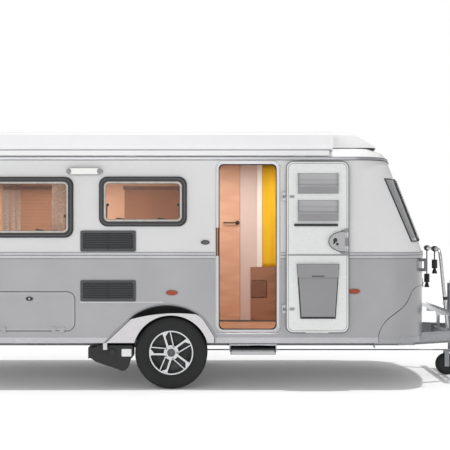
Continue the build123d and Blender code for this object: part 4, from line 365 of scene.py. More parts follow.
def swept(name, path, section, finish, body="body", closed=False, up=(0, 0, 1), smooth=True):
    """A closed section of (side, up) offsets carried along a path.

    At each point the side direction is the cross product of the run and the up direction.
    """
    path = np.asarray(path, float)
    if closed:
        run = np.roll(path, -1, 0) - np.roll(path, 1, 0)
    else:
        run = np.gradient(path, axis=0)
    run /= np.linalg.norm(run, axis=1)[:, None]
    side = np.cross(run, np.asarray(up, float))
    side /= np.linalg.norm(side, axis=1)[:, None]
    rise = np.cross(side, run)
    section = np.asarray(section, float)
    points = path[:, None] + side[:, None] * section[None, :, :1] + rise[:, None] * section[None, :, 1:]
    count, ring = len(path), len(section)
    faces = grid_faces(count, ring, wrap_rows=closed, wrap_columns=True)
    if not closed:
        faces += [list(range(ring))[::-1], [(count - 1) * ring + k for k in range(ring)]]
    made = piece(name, points, faces, finish, body, smooth)
    set_outwards(made)
    return made


def set_outwards(made):
    """Turns every face of a closed mesh outwards."""
    shell = bmesh.new()
    shell.from_mesh(made.data)
    bmesh.ops.recalc_face_normals(shell, faces=shell.faces)
    shell.to_mesh(made.data)
    shell.free()
    return made


def ring_section(radius, count=10):
    """A circle of offsets: (r cos a, r sin a)."""
    a = np.linspace(0, 2 * np.pi, count, endpoint=False)
    return np.stack([radius * np.cos(a), radius * np.sin(a)], 1)


def flat_section(width, height):
    """A flat strip's section with softened edges: width along the side, height along up."""
    w, h, e = width / 2, height / 2, min(width, height) * 0.2
    below = [(-w, -h + e), (-w + e, -h), (w - e, -h), (w, -h + e)]
    return below + [(-a, -b) for a, b in below]


def rounded_outline(low_a, high_a, low_b, high_b, radius, per_corner=8):
    """Points round a rectangle with round corners, anticlockwise in (a, b)."""
    turn = np.linspace(0, np.pi / 2, per_corner)
    centres = (
        (high_a - radius, high_b - radius, 0),
        (low_a + radius, high_b - radius, np.pi / 2),
        (low_a + radius, low_b + radius, np.pi),
        (high_a - radius, low_b + radius, 3 * np.pi / 2),
    )
    return np.vstack(
        [np.stack([a + radius * np.cos(turn + s), b + radius * np.sin(turn + s)], 1) for a, b, s in centres]
    )


def raised_panel(name, outline, y_back, y_face, finish, body="body", edge=0.003):
    """A plate on a side wall: an outline in (x, z) from its back plane to its face, its rim rounded off.

    Rings of the outline shrink towards the middle by edge (1 - cos a) as they rise by edge sin a.
    """
    outline = np.asarray(outline, float)
    middle = outline.mean(0)
    way = middle - outline
    way /= np.linalg.norm(way, axis=1)[:, None]
    sign = np.sign(y_face - y_back)
    rings = [(0.0, y_back)]
    for a in np.linspace(0, np.pi / 2, 4):
        rings.append((edge * (1 - np.cos(a)), y_face - sign * edge * (1 - np.sin(a))))
    points = []
    for shrink, y in rings:
        flat = outline + way * shrink
        points.append(np.stack([flat[:, 0], np.full(len(flat), y), flat[:, 1]], 1))
    count = len(outline)
    faces = grid_faces(len(rings), count, wrap_columns=True)
    faces += [list(range(count)), [(len(rings) - 1) * count + k for k in range(count)]]
    made = piece(name, np.vstack(points), faces, finish, body, smooth=False)
    set_outwards(made)
    return made


def slab(name, x_low, x_high, y_low, y_high, z_low, z_high, finish, body="body", radius=0.004):
    """A plate with rounded edges in the side view, from one Y to another."""
    radius = min(radius, (x_high - x_low) * 0.45, (z_high - z_low) * 0.45)
    outline = rounded_outline(x_low, x_high, z_low, z_high, radius, 4)
    return raised_panel(name, outline, y_high, y_low, finish, body, edge=min(0.002, (y_high - y_low) * 0.4))


def slab_x(name, x_low, x_high, y_low, y_high, z_low, z_high, finish, body="body", radius=0.006):
    """A plate on the rear wall with rounded corners seen from behind: slab turned a quarter about Z."""
    made = slab(name, y_low, y_high, 0.0, x_high - x_low, z_low, z_high, finish, body, radius)
    flat = np.empty(3 * len(made.data.vertices), np.float32)
    made.data.vertices.foreach_get("co", flat)
    across, deep, tall = flat.reshape(-1, 3).T.astype(float)
    flat[:] = np.stack([x_low + deep, across, tall], 1).ravel()
    made.data.vertices.foreach_set("co", flat)
    return set_outwards(made)


def dome(name, centre, radius, height, finish, body="body", steps=20, way=-1):
    """A low button on a side wall: rings of radius r cos a that stand out by height sin a."""
    a = np.linspace(0, np.pi / 2, 5)
    profile = np.stack([radius * np.cos(a), way * height * np.sin(a)], 1)
    profile[-1, 0] = radius * 0.02
    return turned_round(name, profile, centre, finish, body, steps)


def plan_path(inset, front, rear, per_arc=12):
    """The body's plan as points, anticlockwise from where the near side meets its front corner.

    Each corner is an arc of CORNER_R through CORNER_TURN, and each end a wider arc between two corners.
    """
    half, turn = HALF_WIDTH - inset, CORNER_R - inset
    reach, rise = turn * math.sin(CORNER_TURN), turn * (1 - math.cos(CORNER_TURN))
    bow_half = HALF_WIDTH - CORNER_R * (1 - math.cos(CORNER_TURN))
    depth = CORNER_R * math.sin(CORNER_TURN)
    depth += bow_half / math.cos(CORNER_TURN) * (1 - math.sin(CORNER_TURN))
    chord, sag = half - rise, depth - inset - reach
    radius = (chord**2 + sag**2) / (2 * sag)
    a = np.linspace(0, CORNER_TURN, per_arc)
    b = np.linspace(-1, 1, per_arc) * math.asin(chord / radius)
    front_side = front - depth
    corner_low = np.stack([front_side + turn * np.sin(a), -half + turn * (1 - np.cos(a))], 1)
    nose = np.stack([front - inset - radius * (1 - np.cos(b)), radius * np.sin(b)], 1)
    corner_high = corner_low[::-1] * (1, -1)
    ahead = np.vstack([corner_low, nose[1:-1], corner_high])
    rear_side = rear + depth
    behind = ahead[::-1] * (-1, 1)
    behind = behind + (rear_side + front_side, 0)
    return np.vstack([ahead, behind])


def ends_at(z):
    """Where the upper body's front and rear lie at one height: both lean in from the belt up."""
    lean = (z - BELT_HIGH) / (RAIL_LOW - BELT_HIGH)
    return FRONT_X - FRONT_RAKE * lean, REAR_X + REAR_RAKE * lean


def body_strip(name, inset, z, width, height, finish, leave_doorway=False, front=FRONT_X, rear=REAR_X):
    """A flat strip that runs round the body at one height, leaving out the doorway where asked."""
    doorway_rear, doorway_front = -0.176, 0.394
    path = plan_path(inset, front, rear)
    if leave_doorway:
        wall = -HALF_WIDTH + inset
        path = np.vstack([[(doorway_front, wall)], path, [(doorway_rear, wall)]])
    path = np.hstack([path, np.full((len(path), 1), z)])
    return swept(name, path, flat_section(width, height), finish, closed=not leave_doorway, smooth=False)


def wall_strip(name, path, y, width, proud, finish, body="body", closed=False):
    """A flat strip along (x, z) points that lies on a side wall and stands out from it."""
    out = -1 if y < 0 else 1
    path = np.asarray(path, float)
    points = np.stack([path[:, 0], np.full(len(path), y + out * proud / 2), path[:, 1]], 1)
    return swept(name, points, flat_section(width, proud), finish, body, closed, up=(0, out, 0), smooth=False)


def arc_through(a, b, c, count=24):
    """Points of the circle through three (x, z) points, from the first to the last."""
    (ax, az), (bx, bz), (cx, cz) = a, b, c
    turn = 2 * (ax * (bz - cz) + bx * (cz - az) + cx * (az - bz))
    squares = [ax**2 + az**2, bx**2 + bz**2, cx**2 + cz**2]
    x = (squares[0] * (bz - cz) + squares[1] * (cz - az) + squares[2] * (az - bz)) / turn
    z = (squares[0] * (cx - bx) + squares[1] * (ax - cx) + squares[2] * (bx - ax)) / turn
    r = math.hypot(ax - x, az - z)
    ends = np.unwrap([math.atan2(az - z, ax - x), math.atan2(bz - z, bx - x), math.atan2(cz - z, cx - x)])
    t = np.linspace(ends[0], ends[2], count)
    return np.stack([x + r * np.cos(t), z + r * np.sin(t)], 1)


# Road wheels: tyres with grooved tread, hub caps, bolts and the drum seen between the spokes

CROWN_EDGE, CROWN, GROOVE_FLOOR = 0.3135, 0.3168, 0.3090
BOLTS, BOLT_CIRCLE, FIRST_BOLT = 5, 0.0545, 70


def tread(angle, radius, across):
    """Tread depth: blocks round the crown, cut 5 mm deep where a waved sine of the angle is low."""
    blocks, depth, low = 72, 0.005, -0.55
    wave = np.sin(blocks * angle + 10 * np.sin(across * 30)) < low
    return np.where((radius > CROWN_EDGE) & wave, -depth, 0.0)


def tyre_profile(y_outer, y_inner):
    """The tyre's section from its outer bead to its inner one, as radius and share of the width.

    Bead, bulging sidewall with two rings, rounded shoulder and a crown with four grooves.
    """
    half = [
        (0.190, 0.10), (0.196, 0.065), (0.203, 0.05), (0.2085, 0.048), (0.211, 0.036), (0.226, 0.016),
        (0.232, 0.012), (0.234, 0.019), (0.238, 0.010), (0.250, 0.003), (0.262, 0.0), (0.276, 0.003),
        (0.284, 0.008), (0.286, 0.016), (0.290, 0.014), (0.300, 0.028), (0.308, 0.052),
        (CROWN_EDGE, 0.085), (0.3155, 0.118),
    ]
    groove = [(CROWN, -0.028), (CROWN, -0.022), (GROOVE_FLOOR, -0.016)]
    groove += [(radius, -share) for radius, share in groove[::-1]]
    crown = [(radius, middle + share) for middle in (0.20, 0.38, 0.62, 0.80) for radius, share in groove]
    whole = half + crown + [(radius, 1 - share) for radius, share in half[::-1]]
    return np.array([(radius, y_outer + share * (y_inner - y_outer)) for radius, share in whole])


for side, label in SIDES:
    body_name = f"wheel_{label}"
    low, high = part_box(f"tyre_{label}")
    outer, inner = (low.y, high.y) if side < 0 else (high.y, low.y)
    tyre = turned_round(
        f"tyre_{label}_tread", tyre_profile(outer, inner), (AXLE_X, 0, AXLE_Z), TYRE, body_name, 144, tread
    )
    set_outwards(tyre)
    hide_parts(f"tyre_{label}")
    face = outer - side * 0.012
    disc = np.array([(0.182, 0.0), (0.178, 0.006), (0.12, 0.012), (0.09, 0.02), (0.06, 0.02), (0.001, 0.02)])
    disc[:, 1] = outer - side * (0.062 + disc[:, 1])
    turned_round(f"brake_drum_{label}", disc, (AXLE_X, 0, AXLE_Z), WHEEL_BLACK, body_name, 48)
    cap = np.array(
        [(0.037, 0.022), (0.0365, 0.006), (0.034, 0.001), (0.029, -0.001), (0.028, 0.0015), (0.001, 0.0)]
    )
    cap[:, 1] = face - side * cap[:, 1]
    turned_round(f"hub_cap_{label}", cap, (AXLE_X, 0, AXLE_Z), DARK_GREY, body_name, 40)
    bolt = np.array(
        [(0.0095, 0.03), (0.0095, 0.008), (0.0082, 0.006), (0.005, 0.006), (0.0045, 0.009), (0.0005, 0.009)]
    )
    bolt[:, 1] = face - side * bolt[:, 1]
    for k in range(BOLTS):
        a = math.radians(FIRST_BOLT + 360 / BOLTS * k)
        where = (AXLE_X + BOLT_CIRCLE * math.cos(a), 0, AXLE_Z + BOLT_CIRCLE * math.sin(a))
        turned_round(f"wheel_bolt_{label}_{k}", bolt, where, ZINC, body_name, 6, smooth=False)

# Wheel arches: a pale lip along each arch cut and a dark seal inside it

arch_line = np.vstack(
    [
        [(AXLE_X - 0.590, SKIRT), (AXLE_X - 0.460, 0.533)],
        arc_through((AXLE_X - 0.330, 0.655), (AXLE_X, 0.745), (AXLE_X + 0.290, 0.630)),
        [(AXLE_X + 0.345, 0.546), (AXLE_X + 0.395, 0.470), (AXLE_X + 0.395, 0.440), (AXLE_X + 0.395, SKIRT)],
    ]
)
for side, label in SIDES:
    wall_strip(f"arch_lip_{label}", arch_line, side * HALF_WIDTH, 0.012, 0.004, FITTING_GREY_AND_SHADE)
    rim_line = arch_line + (np.array([AXLE_X - 0.04, 0.40]) - arch_line) * 0.035
    wall_strip(f"arch_seal_{label}", rim_line, side * (HALF_WIDTH - 0.008), 0.006, 0.006, SEAL_AND_SHADE)

# Filler strips that run round the body, and the belt rail's seams drawn as dark lines of painted shadow

body_strip("belt_filler", -0.0085, 1.174, 0.003, 0.006, LINE_GREY, leave_doorway=True)
# Dark lines along the belt rail's lower and upper seams: painted shadow
body_strip("belt_shadow_line_low", -0.0005, 1.1445, 0.004, 0.003, SEAL_AND_SHADE, leave_doorway=True)
body_strip("belt_shadow_line_high", -0.0005, 1.1975, 0.004, 0.003, LINE_GREY, leave_doorway=True)
for height, finish in ((2.0025, SEAL_AND_SHADE), (2.0275, LINE_GREY)):
    front, rear = ends_at(height)
    label = f"roof_rail_filler_{round(height * 1000)}"
    body_strip(label, -0.0105, height, 0.003, 0.005, finish, front=front, rear=rear)

# Windows: frame, rubber ring with a paler line of painted highlight on it, the pane's frosted edge, stays and
# latches

FRAME_PROUD, FRAME_WIDTH, PANE_INNER = 0.022, 0.034, 0.012
WINDOWS = {
    "kitchen": (-1, -1.180, -0.424, 1.428, 1.854),
    "rear_near": (-1, -2.440, -1.411, 1.330, 1.852),
    "rear_far": (1, -2.440, -1.411, 1.330, 1.852),
    "middle_far": (1, -1.180, -0.424, 1.428, 1.854),
    "seat_far": (1, 0.420, 1.050, 1.428, 1.854),
}
for name, (side, x0, x1, z0, z1) in WINDOWS.items():
    edge = rounded_outline(x0, x1, z0, z1, 0.070)
    wall_strip(f"frame_edge_{name}", edge, side * HALF_WIDTH, 0.007, 0.017, SEAL_AND_SHADE, closed=True)
    face = side * (HALF_WIDTH + FRAME_PROUD)
    for label, inset, wide, proud, radius, finish in (
        ("frame_ring", 0.021, 0.038, 0.0022, 0.058, RUBBER),
        # A paler line on the rubber ring: painted highlight
        ("frame_highlight_line", 0.016, 0.006, 0.0034, 0.060, DARK_GREY),
        ("pane_edge_band", 0.0475, 0.017, 0.0012, 0.040, EDGE_BAND),
        ("pane_edge_line", 0.0575, 0.003, 0.0016, 0.032, DARK_GREY),
    ):
        ring = rounded_outline(x0 + inset, x1 - inset, z0 + inset, z1 - inset, radius)
        wall_strip(f"{label}_{name}", ring, face, wide, proud, finish, closed=True)
    inner = side * (HALF_WIDTH - PANE_INNER)
    for k, (x, way) in enumerate(((x0 + 0.062, 1), (x1 - 0.062, -1))):
        stay = [(x, inner, z0 + 0.05), (x, inner, z0 + 0.17), (x + way * 0.004, inner, z0 + 0.19)]
        stay = smooth_path(stay, 3)
        swept(f"window_stay_{name}_{k}", stay, flat_section(0.010, 0.008), LINE_GREY, up=(0, 1, 0))
        knob = (x + way * 0.008, inner, z0 + 0.185)
        dome(f"stay_knob_{name}_{k}", knob, 0.013, 0.012, BLACK_PLASTIC, way=side)
    for k, share in enumerate((0.24, 0.72)):
        x = x0 + (x1 - x0) * share
        grip = np.array([(-0.042, 0.062), (-0.034, 0.074), (0.036, 0.064), (0.036, 0.056)]) + (x, z0)
        back, front = inner + side * 0.001, inner + side * 0.009
        raised_panel(f"window_latch_{name}_{k}", grip, back, front, BLACK_PLASTIC)

# Doorway and the folded door's inner face

WALL_Y = -HALF_WIDTH
DOOR_Y = -1.110
POCKET_X = (0.543, 0.887)
doorway_edge = rounded_outline(-0.172, 0.390, 0.495, 1.997, 0.068)
wall_strip("doorway_wall_edge", doorway_edge, WALL_Y + 0.003, 0.006, 0.005, TRIM_AND_HIGHLIGHT, closed=True)
doorway_lip = rounded_outline(-0.1435, 0.3615, 0.5235, 1.9685, 0.052)
wall_strip("doorway_seal", doorway_lip, -0.990, 0.014, 0.007, SEAL_AND_SHADE, closed=True)
slab("doorway_hinge_seal", 0.3855, 0.3925, -1.051, -1.045, 0.53, 1.96, SEAL_AND_SHADE)
slab("lock_strike_plate", -0.205, -0.158, -0.993, -0.989, 1.14, 1.45, DARK_GREY)
slab("door_sill_plate", -0.16, 0.378, -1.062, -1.0, 0.488, 0.497, TRIM_AND_HIGHLIGHT)
slab("floor_covering", -0.165, 0.455, -0.99, 0.055, 0.5002, 0.5035, WOOD_FLOOR)
door_edge = rounded_outline(0.4405, 0.9815, 0.5055, 1.9865, 0.060)
wall_strip("door_edge_seal", door_edge, DOOR_Y + 0.003, 0.006, 0.006, SEAL_AND_SHADE, body="door", closed=True)
door_bead = rounded_outline(0.458, 0.964, 0.523, 1.969, 0.048)
wall_strip("door_pressed_line", door_bead, DOOR_Y, 0.004, 0.002, FITTING_GREY_AND_SHADE, body="door", closed=True)
# The ledge across the door is darker grey: painted shadow under the ledge
slab("door_ledge_shadow_line", 0.452, 0.970, DOOR_Y - 0.004, DOOR_Y, 1.172, 1.184, FITTING_GREY_AND_SHADE, "door")
slab("door_foot_notch", 0.606, 0.806, DOOR_Y - 0.003, DOOR_Y, 0.5025, 0.512, GEL_COAT, "door")
slab("bin_foot_shadow", 0.572, 0.858, DOOR_Y - 0.0245, DOOR_Y - 0.020, 0.634, 0.646, SEAL_AND_SHADE, "door", 0.008)
lock_turn = np.linspace(np.pi / 2, 3 * np.pi / 2, 24)
lock_plate = np.stack([0.945 + 0.139 * np.cos(lock_turn), 1.294 + 0.0886 * np.sin(lock_turn)], 1)
lock_back, lock_face = DOOR_Y - 0.0195, DOOR_Y - 0.0220
raised_panel("lock_recess_plate", lock_plate, lock_back, lock_face, POCKET_GREY, "door", edge=0.002)
wall_strip("lock_recess_shade", lock_plate, DOOR_Y - 0.0215, 0.007, 0.0015, DARK_GREY, body="door")
for k, (x, z, r) in enumerate(((0.862, 1.306, 0.020), (0.880, 1.272, 0.013), (0.852, 1.283, 0.010))):
    dome(f"lock_knob_{k}", (x, DOOR_Y - 0.0215, z), r, 0.0022, BLACK_PLASTIC, "door", 16)
slab("door_rail_black", 0.508, 0.887, DOOR_Y - 0.015, DOOR_Y - 0.010, 1.426, 1.448, BLACK_PLASTIC, "door")
for k, z in enumerate((1.683, 0.711)):
    cover, slot = (0.468, 0.512, DOOR_Y - 0.005, DOOR_Y), (0.476, 0.504, DOOR_Y - 0.0065, DOOR_Y - 0.004)
    slab(f"door_hinge_cover_{k}", *cover, z - 0.014, z + 0.014, POCKET_GREY, "door", 0.006)
    slab(f"door_hinge_slot_{k}", *slot, z - 0.003, z + 0.003, DARK_GREY, "door")
bin_back = [(0.530, 1.100), (0.900, 1.100), (0.868, 0.626), (0.562, 0.626)]
raised_panel("bin_shadow_gap", bin_back, DOOR_Y, DOOR_Y - 0.004, SEAL_AND_SHADE, "door")
bin_lid = [(0.534, 1.098), (0.896, 1.098), (0.891, 0.985), (0.539, 0.985)]
raised_panel("bin_lid", bin_lid, DOOR_Y - 0.02, DOOR_Y - 0.0265, FITTING_GREY_AND_SHADE, "door", edge=0.006)
slab("bin_lid_grip", 0.66, 0.77, DOOR_Y - 0.0275, DOOR_Y - 0.024, 0.988, 1.002, DARK_GREY, "door")
for k, lip in enumerate((1.773, 1.540)):
    front = (DOOR_Y - 0.0255, DOOR_Y - 0.021)
    # A light strip along each pocket lip's top edge: painted highlight
    slab(f"pocket_lip_highlight_{k}", 0.538, 0.892, *front, lip - 0.002, lip + 0.003, TRIM_AND_HIGHLIGHT, "door")
    shade, fold = (DOOR_Y - 0.006, DOOR_Y - 0.0045), (DOOR_Y - 0.0075, DOOR_Y - 0.0055)
    slab(f"pocket_shade_{k}", *POCKET_X, *shade, lip, lip + 0.109, POCKET_GREY, "door", 0.02)
    slab(f"pocket_fold_{k}", *POCKET_X, *fold, lip + 0.052, lip + 0.056, FITTING_GREY_AND_SHADE, "door")

# Service flap: seal, lock and a light line of painted highlight inside the seal; the rim of each grille, a
# black sheet of painted shade behind its slats and a pale strip of painted highlight along the crease below

flap_edge = rounded_outline(-2.193, -1.394, 0.515, 0.857, 0.070)
wall_strip("flap_seal", flap_edge, WALL_Y + 0.001, 0.007, 0.004, DARK_GREY, closed=True)
# A light line inside the flap's seal: painted highlight
flap_highlight_path = rounded_outline(-2.180, -1.407, 0.528, 0.844, 0.058)
wall_strip("flap_highlight_line", flap_highlight_path, WALL_Y, 0.005, 0.002, TRIM_AND_HIGHLIGHT, body="flap", closed=True)
oval = np.linspace(0, 2 * np.pi, 28, endpoint=False)
flap_lock = np.stack([-1.789 + 0.032 * np.cos(oval), 0.796 + 0.018 * np.sin(oval)], 1)
raised_panel("flap_lock_cover", flap_lock, WALL_Y - 0.005, WALL_Y - 0.012, BLACK_PLASTIC, "flap", edge=0.003)
dome("flap_lock_key", (-1.789, WALL_Y - 0.012, 0.796), 0.008, 0.002, TRIM_AND_HIGHLIGHT, "flap", 14)
for k, (low, high) in enumerate(((1.205, 1.389), (0.773, 0.959))):
    # A black sheet behind each grille's slats: painted shade of the opening behind them
    slab(f"grille_shade_sheet_{k}", -1.322, -0.887, -1.045, -1.040, low + 0.024, high - 0.024, SEAL_AND_SHADE)
    rim = rounded_outline(-1.344, -0.865, low + 0.002, high - 0.002, 0.013)
    wall_strip(f"grille_rim_{k}", rim, WALL_Y - 0.006, 0.005, 0.003, DARK_GREY, closed=True)
    slab(f"grille_bar_{k}", -1.108, -1.101, -1.0585, -1.052, low + 0.02, high - 0.02, BLACK_PLASTIC)
# A pale strip along the crease under the lower grille: painted highlight
slab("crease_highlight_strip", -1.350, -0.628, -1.0545, -1.050, 0.764, 0.7685, POWDER_WHITE_AND_HIGHLIGHT)
inlet = np.stack([-0.261 + 0.030 * np.cos(oval), 1.286 + 0.013 * np.sin(oval)], 1)
raised_panel("inlet_cover", inlet, WALL_Y - 0.008, WALL_Y - 0.0125, DARK_GREY, edge=0.003)
for side, label in SIDES:
    for k, (x, z) in enumerate(((-0.552, 0.848), (1.034, 0.860))):
        base = np.stack([x + 0.056 * np.cos(oval), z + 0.027 * np.sin(oval)], 1)
        y = side * HALF_WIDTH
        raised_panel(f"marker_base_{label}_{k}", base, y, y + side * 0.003, FITTING_GREY_AND_SHADE, edge=0.001)

# End windows: the pane's tinted return round each corner, with its rubber edge

WINDOW_EDGE_Y = 0.835


def corner_patch(name, end, side, z0, z1, turn_low, turn_high, inset, finish):
    """A skin on the upper body's corner, from a turn angle of the corner arc to where the end window starts.

    Rows lie at heights from z0 to z1; along each, points run from the arc's angle to the window's edge.
    """
    levels, columns, fine = 14, 16, 40
    rows = []
    for z in np.linspace(z0, z1, levels):
        plan = plan_path(inset, *ends_at(z), fine)
        arc = plan[:fine] if end > 0 else plan[-fine:][::-1]
        low = turn_low + (turn_high - turn_low) * (z - z0) / (z1 - z0)
        angle = np.degrees(np.linspace(0, CORNER_TURN, fine))
        stop = np.interp(WINDOW_EDGE_Y, -arc[::-1, 1], angle[::-1])
        wanted = np.linspace(low, stop, columns)
        x, y = np.interp(wanted, angle, arc[:, 0]), np.interp(wanted, angle, arc[:, 1])
        rows.append(np.stack([x, -side * y, np.full(columns, z)], 1))
    made = piece(name, np.array(rows), grid_faces(levels, columns), finish)
    return modified(made, "SOLIDIFY", thickness=0.003, offset=0.0)


for side, label in SIDES:
    for end, word in ((1, "front"), (-1, "rear")):
        corner = f"{word}_{label}"
        corner_patch(f"pane_return_{corner}", end, side, 1.300, 1.835, 50, 44, -0.006, RETURN_GREY)
        corner_patch(f"pane_return_frame_{corner}", end, side, 1.290, 1.846, 47.5, 41.5, -0.003, RUBBER)

# Awning case's foot seal and valance; its lamp; step, movers, rear lamps and the blank number plate

low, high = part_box("awning_case")
slab("awning_foot_seal", low.x, high.x, -1.078, -1.060, 2.084, 2.0895, LINE_GREY)
slab("awning_valance", low.x + 0.03, high.x - 0.03, -1.0765, -1.0705, 2.040, 2.084, POWDER_WHITE_AND_HIGHLIGHT)
low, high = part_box("awning_lamp")
for k, (x0, x1) in enumerate(((low.x - 0.002, low.x + 0.040), (high.x - 0.040, high.x + 0.002))):
    z0, z1 = low.z + 0.002, high.z - 0.002
    slab(f"lamp_end_{k}", x0, x1, low.y - 0.002, WALL_Y, z0, z1, FITTING_GREY_AND_SHADE, radius=0.018)
x0, x1, z0, z1 = low.x + 0.03, high.x - 0.03, low.z - 0.004, high.z + 0.004
slab("lamp_outline", x0, x1, low.y + 0.006, WALL_Y, z0, z1, FITTING_GREY_AND_SHADE, radius=0.006)
low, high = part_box("step_tread")
slab("step_front_bar", low.x + 0.006, high.x - 0.006, low.y - 0.002, low.y, 0.312, 0.331, TRIM_AND_HIGHLIGHT, "step")
x0, x1 = low.x + 0.010, high.x - 0.010
slab("step_front_gap", x0, x1, low.y - 0.0012, low.y, 0.336, 0.341, POWDER_WHITE_AND_HIGHLIGHT, "step")
for k in range(9):
    y = low.y + 0.022 + 0.027 * k
    slab(f"step_grip_{k}", low.x + 0.012, high.x - 0.012, y, y + 0.010, high.z, high.z + 0.002, SEAL_AND_SHADE, "step")
for side, label in SIDES:
    face = side * 0.985
    proud = sorted((face, face + side * 0.002))
    slab(f"mover_label_{label}", -0.994, -0.908, *proud, 0.286, 0.352, POWDER_WHITE_AND_HIGHLIGHT, radius=0.008)
    cap = [(0.034, 0.0), (0.034, side * 0.005), (0.026, side * 0.008), (0.001, side * 0.008)]
    turned_round(f"mover_motor_cap_{label}", cap, (-1.075, face, 0.322), BLACK_PLASTIC, "body", 28)
    proud = sorted((face, face + side * 0.004))
    for k in range(7):
        x = -1.205 + 0.012 * k
        slab(f"mover_rib_{label}_{k}", x, x + 0.005, *proud, 0.292, 0.372, BLACK_PLASTIC)
low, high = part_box("tail_lamps")
for side, label in SIDES:
    y0, y1 = sorted((side * 0.745, side * 0.855))
    for k, (z0, z1, finish) in enumerate(((0.872, 0.952, AMBER), (0.662, 0.728, LAMP_CLEAR))):
        slab_x(f"tail_lens_{label}_{k}", low.x - 0.004, low.x + 0.004, y0, y1, z0, z1, finish)
collar = [(1.9835, -0.25, 0.733), (1.9818, -0.25, 0.747), (1.9800, -0.25, 0.761)]
swept("post_collar", collar, ring_section(0.0215, 18), BLACK_PLASTIC)
slab_x("number_plate_blank", REAR_X - 0.004, REAR_X + 0.004, -0.26, 0.26, 0.60, 0.71, POWDER_WHITE_AND_HIGHLIGHT)
slab_x("number_plate_edge", REAR_X - 0.002, REAR_X + 0.004, -0.268, 0.268, 0.592, 0.718, SEAL_AND_SHADE)

# Cabin: what shows through the doorway and the panes

FACE_Y = 0.090
KICK_TOP, CABINET_TOP, CEILING = 0.515, 1.03, 2.036
slab("washroom_door", -0.150, 0.054, FACE_Y - 0.016, FACE_Y, KICK_TOP, CEILING, WOOD_LIGHT)
slab("washroom_side_panel", 0.058, 0.222, FACE_Y - 0.012, FACE_Y, KICK_TOP, CEILING, PALE_PANEL)
slab("cabin_post", 0.222, 0.270, FACE_Y - 0.035, FACE_Y, CABINET_TOP, CEILING, CREAM)
slab("cabinet_low_panel", 0.158, 0.455, FACE_Y - 0.030, FACE_Y - 0.012, KICK_TOP, CABINET_TOP, WOOD_BROWN)
# Inside the cabinet's recess the darkest laminate paints its shade
slab("cabinet_recess", 0.168, 0.306, FACE_Y - 0.034, FACE_Y - 0.029, 0.742, 0.890, WOOD_DARK_AND_RECESS_SHADE, radius=0.02)
recess = rounded_outline(0.160, 0.314, 0.734, 0.898, 0.024)
wall_strip("cabinet_recess_trim", recess, FACE_Y - 0.030, 0.008, 0.004, TRIM_AND_HIGHLIGHT, closed=True)
HANDLE_Z = 1.459
handle = [(-0.098, 0.064), (-0.09, 0.046), (0.02, 0.046), (0.037, 0.064)]
handle = smooth_path([(x, y, HANDLE_Z) for x, y in handle], 5)
swept("washroom_door_handle", handle, ring_section(0.007, 10), BLACK_PLASTIC)
dome("washroom_handle_rose", (0.03, FACE_Y - 0.015, HANDLE_Z), 0.022, 0.010, BLACK_PLASTIC)
slab("curtain_rail", 0.262, 0.452, FACE_Y - 0.045, FACE_Y - 0.002, 2.018, CEILING, TRIM_AND_HIGHLIGHT)
slab("cabin_kick_strip", -0.150, 0.452, FACE_Y - 0.038, FACE_Y, 0.5005, KICK_TOP, DARK_GREY)


def pleated(name, x0, x1, z0, z1, y, depth, pleat, finish, rests_on):
    """A hung curtain: y swings as depth sin(2 pi x/pleat), gathered at the top and falling open below.

    A slower sine of x and z shifts the pleats, so that no two are quite alike.
    """
    per_pleat, rows = 14, 22
    count = int((x1 - x0) / pleat * per_pleat)
    x = np.linspace(x0, x1, count)[None, :]
    z = np.linspace(z1, z0, rows)[:, None]
    fall = 0.55 + 0.45 * (z1 - z) / (z1 - z0)
    swing = np.sin(2 * np.pi * x / pleat + 0.35 * np.sin(6 * z + 9 * x))
    y_grid = y + depth * fall * swing + 0.2 * depth * np.sin(2.3 * np.pi * x / pleat)
    points = np.stack([np.broadcast_to(x, y_grid.shape), y_grid, np.broadcast_to(z, y_grid.shape)], -1)
    made = piece(name, points, grid_faces(rows, count), finish)
    modified(made, "SOLIDIFY", thickness=0.0012, offset=0.0)
    return made


door_hung = (0.272, 0.450, 1.032, 2.018, FACE_Y - 0.024, 0.008, 0.090)
pleated("door_curtain", *door_hung, CURTAIN_YELLOW, ["curtain_rail"])
for side, label in SIDES:
    y, rail = side * 1.006, f"window_curtain_rail_{label}"
    slab(rail, -2.46, -1.40, *sorted((y, y + side * 0.012)), 1.884, 1.896, TRIM_AND_HIGHLIGHT)
    for k, x in enumerate((-2.43, -1.601)):
        fall = (x, x + 0.190, 1.30, 1.884, y, 0.005, 0.064)
        pleated(f"window_curtain_{label}_{k}", *fall, CURTAIN_BEIGE, [rail])
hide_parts("curtains")


def lining(name, y, x0, x1, z0, z1, holes, finish):
    """A thin board on a side wall's inner face, left out over the windows: cells of a grid of their edges."""
    xs = sorted({x0, x1, *[min(max(v, x0), x1) for h in holes for v in h[:2]]})
    zs = sorted({z0, z1, *[min(max(v, z0), z1) for h in holes for v in h[2:]]})
    grid = np.array([(x, y, z) for z in zs for x in xs])
    faces = []
    for i in range(len(zs) - 1):
        for j in range(len(xs) - 1):
            mx, mz = (xs[j] + xs[j + 1]) / 2, (zs[i] + zs[i + 1]) / 2
            if not any(h[0] < mx < h[1] and h[2] < mz < h[3] for h in holes):
                k = i * len(xs) + j
                faces.append((k, k + 1, k + 1 + len(xs), k + len(xs)))
    made = piece(name, grid, faces, finish, smooth=False)
    return modified(made, "SOLIDIFY", thickness=0.003, offset=0.0)


